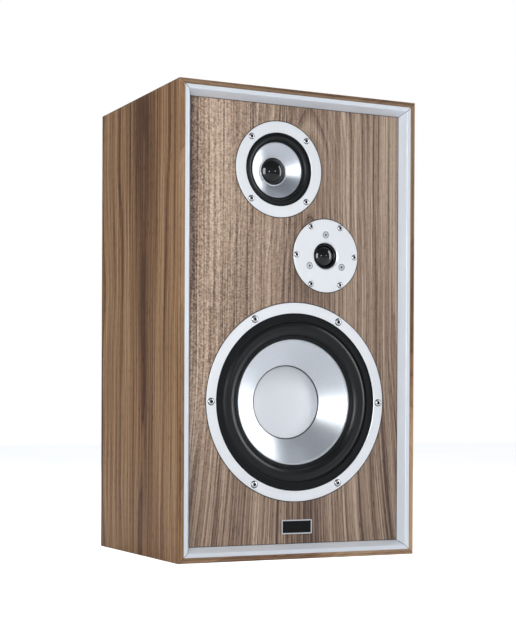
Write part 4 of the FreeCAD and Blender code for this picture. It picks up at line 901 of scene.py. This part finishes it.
# a glue bead that is also a painted shadow in the seam round the cap
turned(
    "woofer_cap_glue_and_shadow_line", "woofer",
    (
        (46.9, woofer_at(46.9) - 0.1), (47.4, woofer_at(47.4) - 0.55, 48.3, woofer_at(48.3) - 0.1),
        (48.4, woofer_at(48.4) + 0.3), (46.9, woofer_at(46.9) + 0.3),
    ),
    "woofer_cone_assembly", glue_and_seam_shadow, (), 160, 6,
)

# %% [markdown]
# ## The midrange
# It is a small woofer with its own closed chamber. Its cap is a deep gloss dome in a thin bright collar.

# %% Midrange parts
def mid_at(radius):
    return cone_depth(radius, 35.4, 5.8, MID_SLOPE)


mid_roll = turned(
    "mid_half_roll", "mid",
    (
        (35.4, 5.8), (35.4, 5.3), (35.8, 5.0), (36.3, 4.7, 36.9, 5.0), (38.0, 5.0), (41.6, 1.2, 45.2, 2.4),
        (46.9, 2.4), (46.9, 3.2), (44.8, 3.2), (41.6, 2.0, 38.6, 5.8),
    ),
    None, surround_rubber, ["mid_surround"], 144, 14,
)
flex(mid_roll, "mid", 38.0, 45.2)
turned(
    "mid_spun_cone", "mid",
    (
        (13.1, mid_at(13.1)), (33.9, mid_at(33.9)), (34.6, mid_at(34.6) - 0.5, 35.2, 5.85),
        (38.0, 5.8), (38.0, 7.0), (35.7, 7.0), (13.1, mid_at(13.1) + 1.41),
    ),
    "mid_cone_assembly", mid_spun, ["mid_cone"], 144,
)
turned(
    "mid_gloss_dome", "mid",
    ((0.0, 8.49), (9.0, 10.72, 17.0, 16.8), (17.3, 17.09), (16.6, 17.5), (9.0, 11.55, 0.0, 9.29)),
    "mid_cone_assembly", gloss_black, ["mid_dust_cap"], 128, 20,
)
turned(
    "mid_dome_collar", "mid",
    (
        (17.35, mid_at(17.35) - 0.2), (17.9, mid_at(17.9) - 1.0, 18.9, mid_at(18.9) - 0.1),
        (18.9, mid_at(18.9) + 0.3), (17.35, mid_at(17.35) + 0.3),
    ),
    "mid_cone_assembly", cap_satin, (), 128, 6,
)

# %% [markdown]
# ## The tweeter
# The dome and its little roll are one pressed skin. It travels only half a millimetre.

# %% Tweeter parts
tweeter_roll = turned(
    "tweeter_half_roll", "tweeter",
    (
        (13.5, 3.4), (15.2, 2.0, 16.9, 3.4), (21.0, 3.4), (21.0, 3.9), (16.9, 3.9),
        (15.2, 2.5, 13.5, 3.9),
    ),
    None, gloss_black, ["tweeter_surround"], 128, 12,
)
flex(tweeter_roll, "tweeter", 13.7, 16.9)
turned(
    "tweeter_gloss_dome", "tweeter",
    ((0.0, -3.2), (6.9, -1.42, 13.4, 3.4), (13.4, 3.9), (12.9, 3.9), (12.9, 3.5), (6.7, -0.95, 0.0, -2.7)),
    "tweeter_dome_assembly", gloss_black, ["tweeter_dome"], 128, 20,
)

# %% [markdown]
# Each driver is sealed to the baffle, and a thin black bead round each ring is a painted shadow of the gap
# there.

# %% Ring shadow beads
# painted shadow: near black for the beads and rings that stand for shadowed gaps
painted_shadow_black = moulded("painted_shadow_black", colour(10, 10, 11), 0.8, 1800.0, 0.0001)
for driver, rim in (("woofer", 128.0), ("mid", 61.3), ("tweeter", 47.5)):
    turned(
        driver + "_ring_shadow_bead", driver,
        ((rim + 0.05, -0.05), (rim + 0.05, -0.4), (rim + 0.7, -0.4, rim + 0.95, -0.05)),
        "cabinet", painted_shadow_black, (), 160, 5,
    )

# %% [markdown]
# The baffle sits behind the trim bars with a hair of a gap, which shows as a dark line round it. A thin
# black bead stands for the gap: a rectangle whose rim is inset, and whose middle is taken away.

# %% Shadow line
SIGHT_EDGE = 18.6 * MM  # from the cabinet's outside to the edge of the visible baffle
BEAD_WIDTH, BEAD_HEIGHT, CLEAR = 0.7 * MM, 0.12 * MM, 0.02 * MM
bm = bmesh.new()
wide = high_corner[0] - low_corner[0] - 2 * SIGHT_EDGE
tall = high_corner[2] - low_corner[2] - 2 * SIGHT_EDGE
bmesh.ops.create_grid(bm, x_segments=1, y_segments=1, size=0.5)
bmesh.ops.scale(bm, verts=bm.verts, vec=(wide, tall, 1.0))
bmesh.ops.rotate(bm, verts=bm.verts, matrix=Matrix.Rotation(math.pi / 2, 3, "X"))
mid_height = (high_corner[2] + low_corner[2]) / 2
bmesh.ops.translate(bm, verts=bm.verts, vec=(0.0, face_y - CLEAR, mid_height))
middle = bm.faces[:]
bmesh.ops.inset_region(bm, faces=middle, thickness=BEAD_WIDTH, use_boundary=True, use_even_offset=True)
bmesh.ops.delete(bm, geom=middle, context="FACES_ONLY")
raised = bmesh.ops.extrude_face_region(bm, geom=bm.faces[:])["geom"]
raised = [part for part in raised if isinstance(part, bmesh.types.BMVert)]
bmesh.ops.translate(bm, verts=raised, vec=(0.0, -BEAD_HEIGHT, 0.0))
bmesh.ops.recalc_face_normals(bm, faces=bm.faces)
shadow_line = place("trim_shadow_line", bm)
shadow_line.data.materials.append(painted_shadow_black)
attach(shadow_line, "cabinet")
print("trim shadow line", len(shadow_line.data.polygons), "faces")

# %% [markdown]
# Three more screws sit flush in the tweeter's plate. A fine black ring round each head is a painted shadow
# of the gap at its seat.

# %% Screw shadow rings
PLATE_SCREW_REACH = 27.3
PLATE_SCREW_ANGLES = (90, 210, 330)
lo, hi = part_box("tweeter_plate_screws")
head = (hi.x - lo.x) / 2 / MM - PLATE_SCREW_REACH * math.cos(math.radians(30))
plate_front = (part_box("tweeter_faceplate")[0].y - face_y) / MM
for number, angle in enumerate(PLATE_SCREW_ANGLES, 1):
    turn = math.radians(angle)
    away = Vector((math.cos(turn), 0.0, math.sin(turn))) * PLATE_SCREW_REACH * MM
    axes["plate_screw"] = axes["tweeter"] + away
    turned(
        f"plate_screw_shadow_ring_{number}", "plate_screw",
        (
            (head, plate_front + 0.02), (head, plate_front - 0.03), (head + 0.55, plate_front - 0.03),
            (head + 0.6, plate_front + 0.02),
        ),
        "cabinet", painted_shadow_black, (), 40,
    )
print("plate screw head radius", round(head, 2), "mm")

# %% [markdown]
# ## Spiders and tinsel leads
# These are hidden behind the cones, but a spider and its leads must still flex as the cone moves, so
# copies of the design meshes are blended in the same way.

# %% Spiders and leads
spider_cloth = moulded("spider_cloth", colour(196, 158, 84), 0.8, 1600.0, 0.0002)
REACHES = {"woofer": ((25.7, 62.0), (32.0, 72.0)), "mid": ((13.1, 27.0), (15.6, 36.0))}
for driver, (spider_reach, lead_reach) in REACHES.items():
    spider = copy_of(driver + "_corrugated_spider", driver + "_spider", spider_cloth)
    flex(spider, driver, *spider_reach)
    leads = copy_of(driver + "_braided_leads", driver + "_tinsel_leads", copper)
    flex(leads, driver, *lead_reach)

# %% [markdown]
# ## Wadding
# Pads of fleece line the sides and the back and soak up the sound inside. They are soft, so each slab
# is cut into small squares and smoothed until its edges and corners are round.

# %% Wadding
PAD_CUTS, PAD_SMOOTHINGS = 22, 24
bm = bmesh.new()
bm.from_mesh(nodes["damping_pads"].data)
bmesh.ops.remove_doubles(bm, verts=bm.verts, dist=1e-7)
bmesh.ops.join_triangles(bm, faces=bm.faces, angle_face_threshold=0.1, angle_shape_threshold=3.1)
bmesh.ops.subdivide_edges(bm, edges=bm.edges, cuts=PAD_CUTS, use_grid_fill=True)
for _ in range(PAD_SMOOTHINGS):
    bmesh.ops.smooth_vert(bm, verts=bm.verts, factor=0.5, use_axis_x=True, use_axis_y=True, use_axis_z=True)
bmesh.ops.recalc_face_normals(bm, faces=bm.faces)
smooth(bm)
wadding = place("wadding_pads", bm)
fleece = moulded("wadding_fleece", colour(226, 226, 220), 0.95, 500.0, 0.0012)
wadding.data.materials.append(fleece)
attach(wadding, "cabinet")
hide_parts("damping_pads")
print("wadding", len(wadding.data.polygons), "faces")
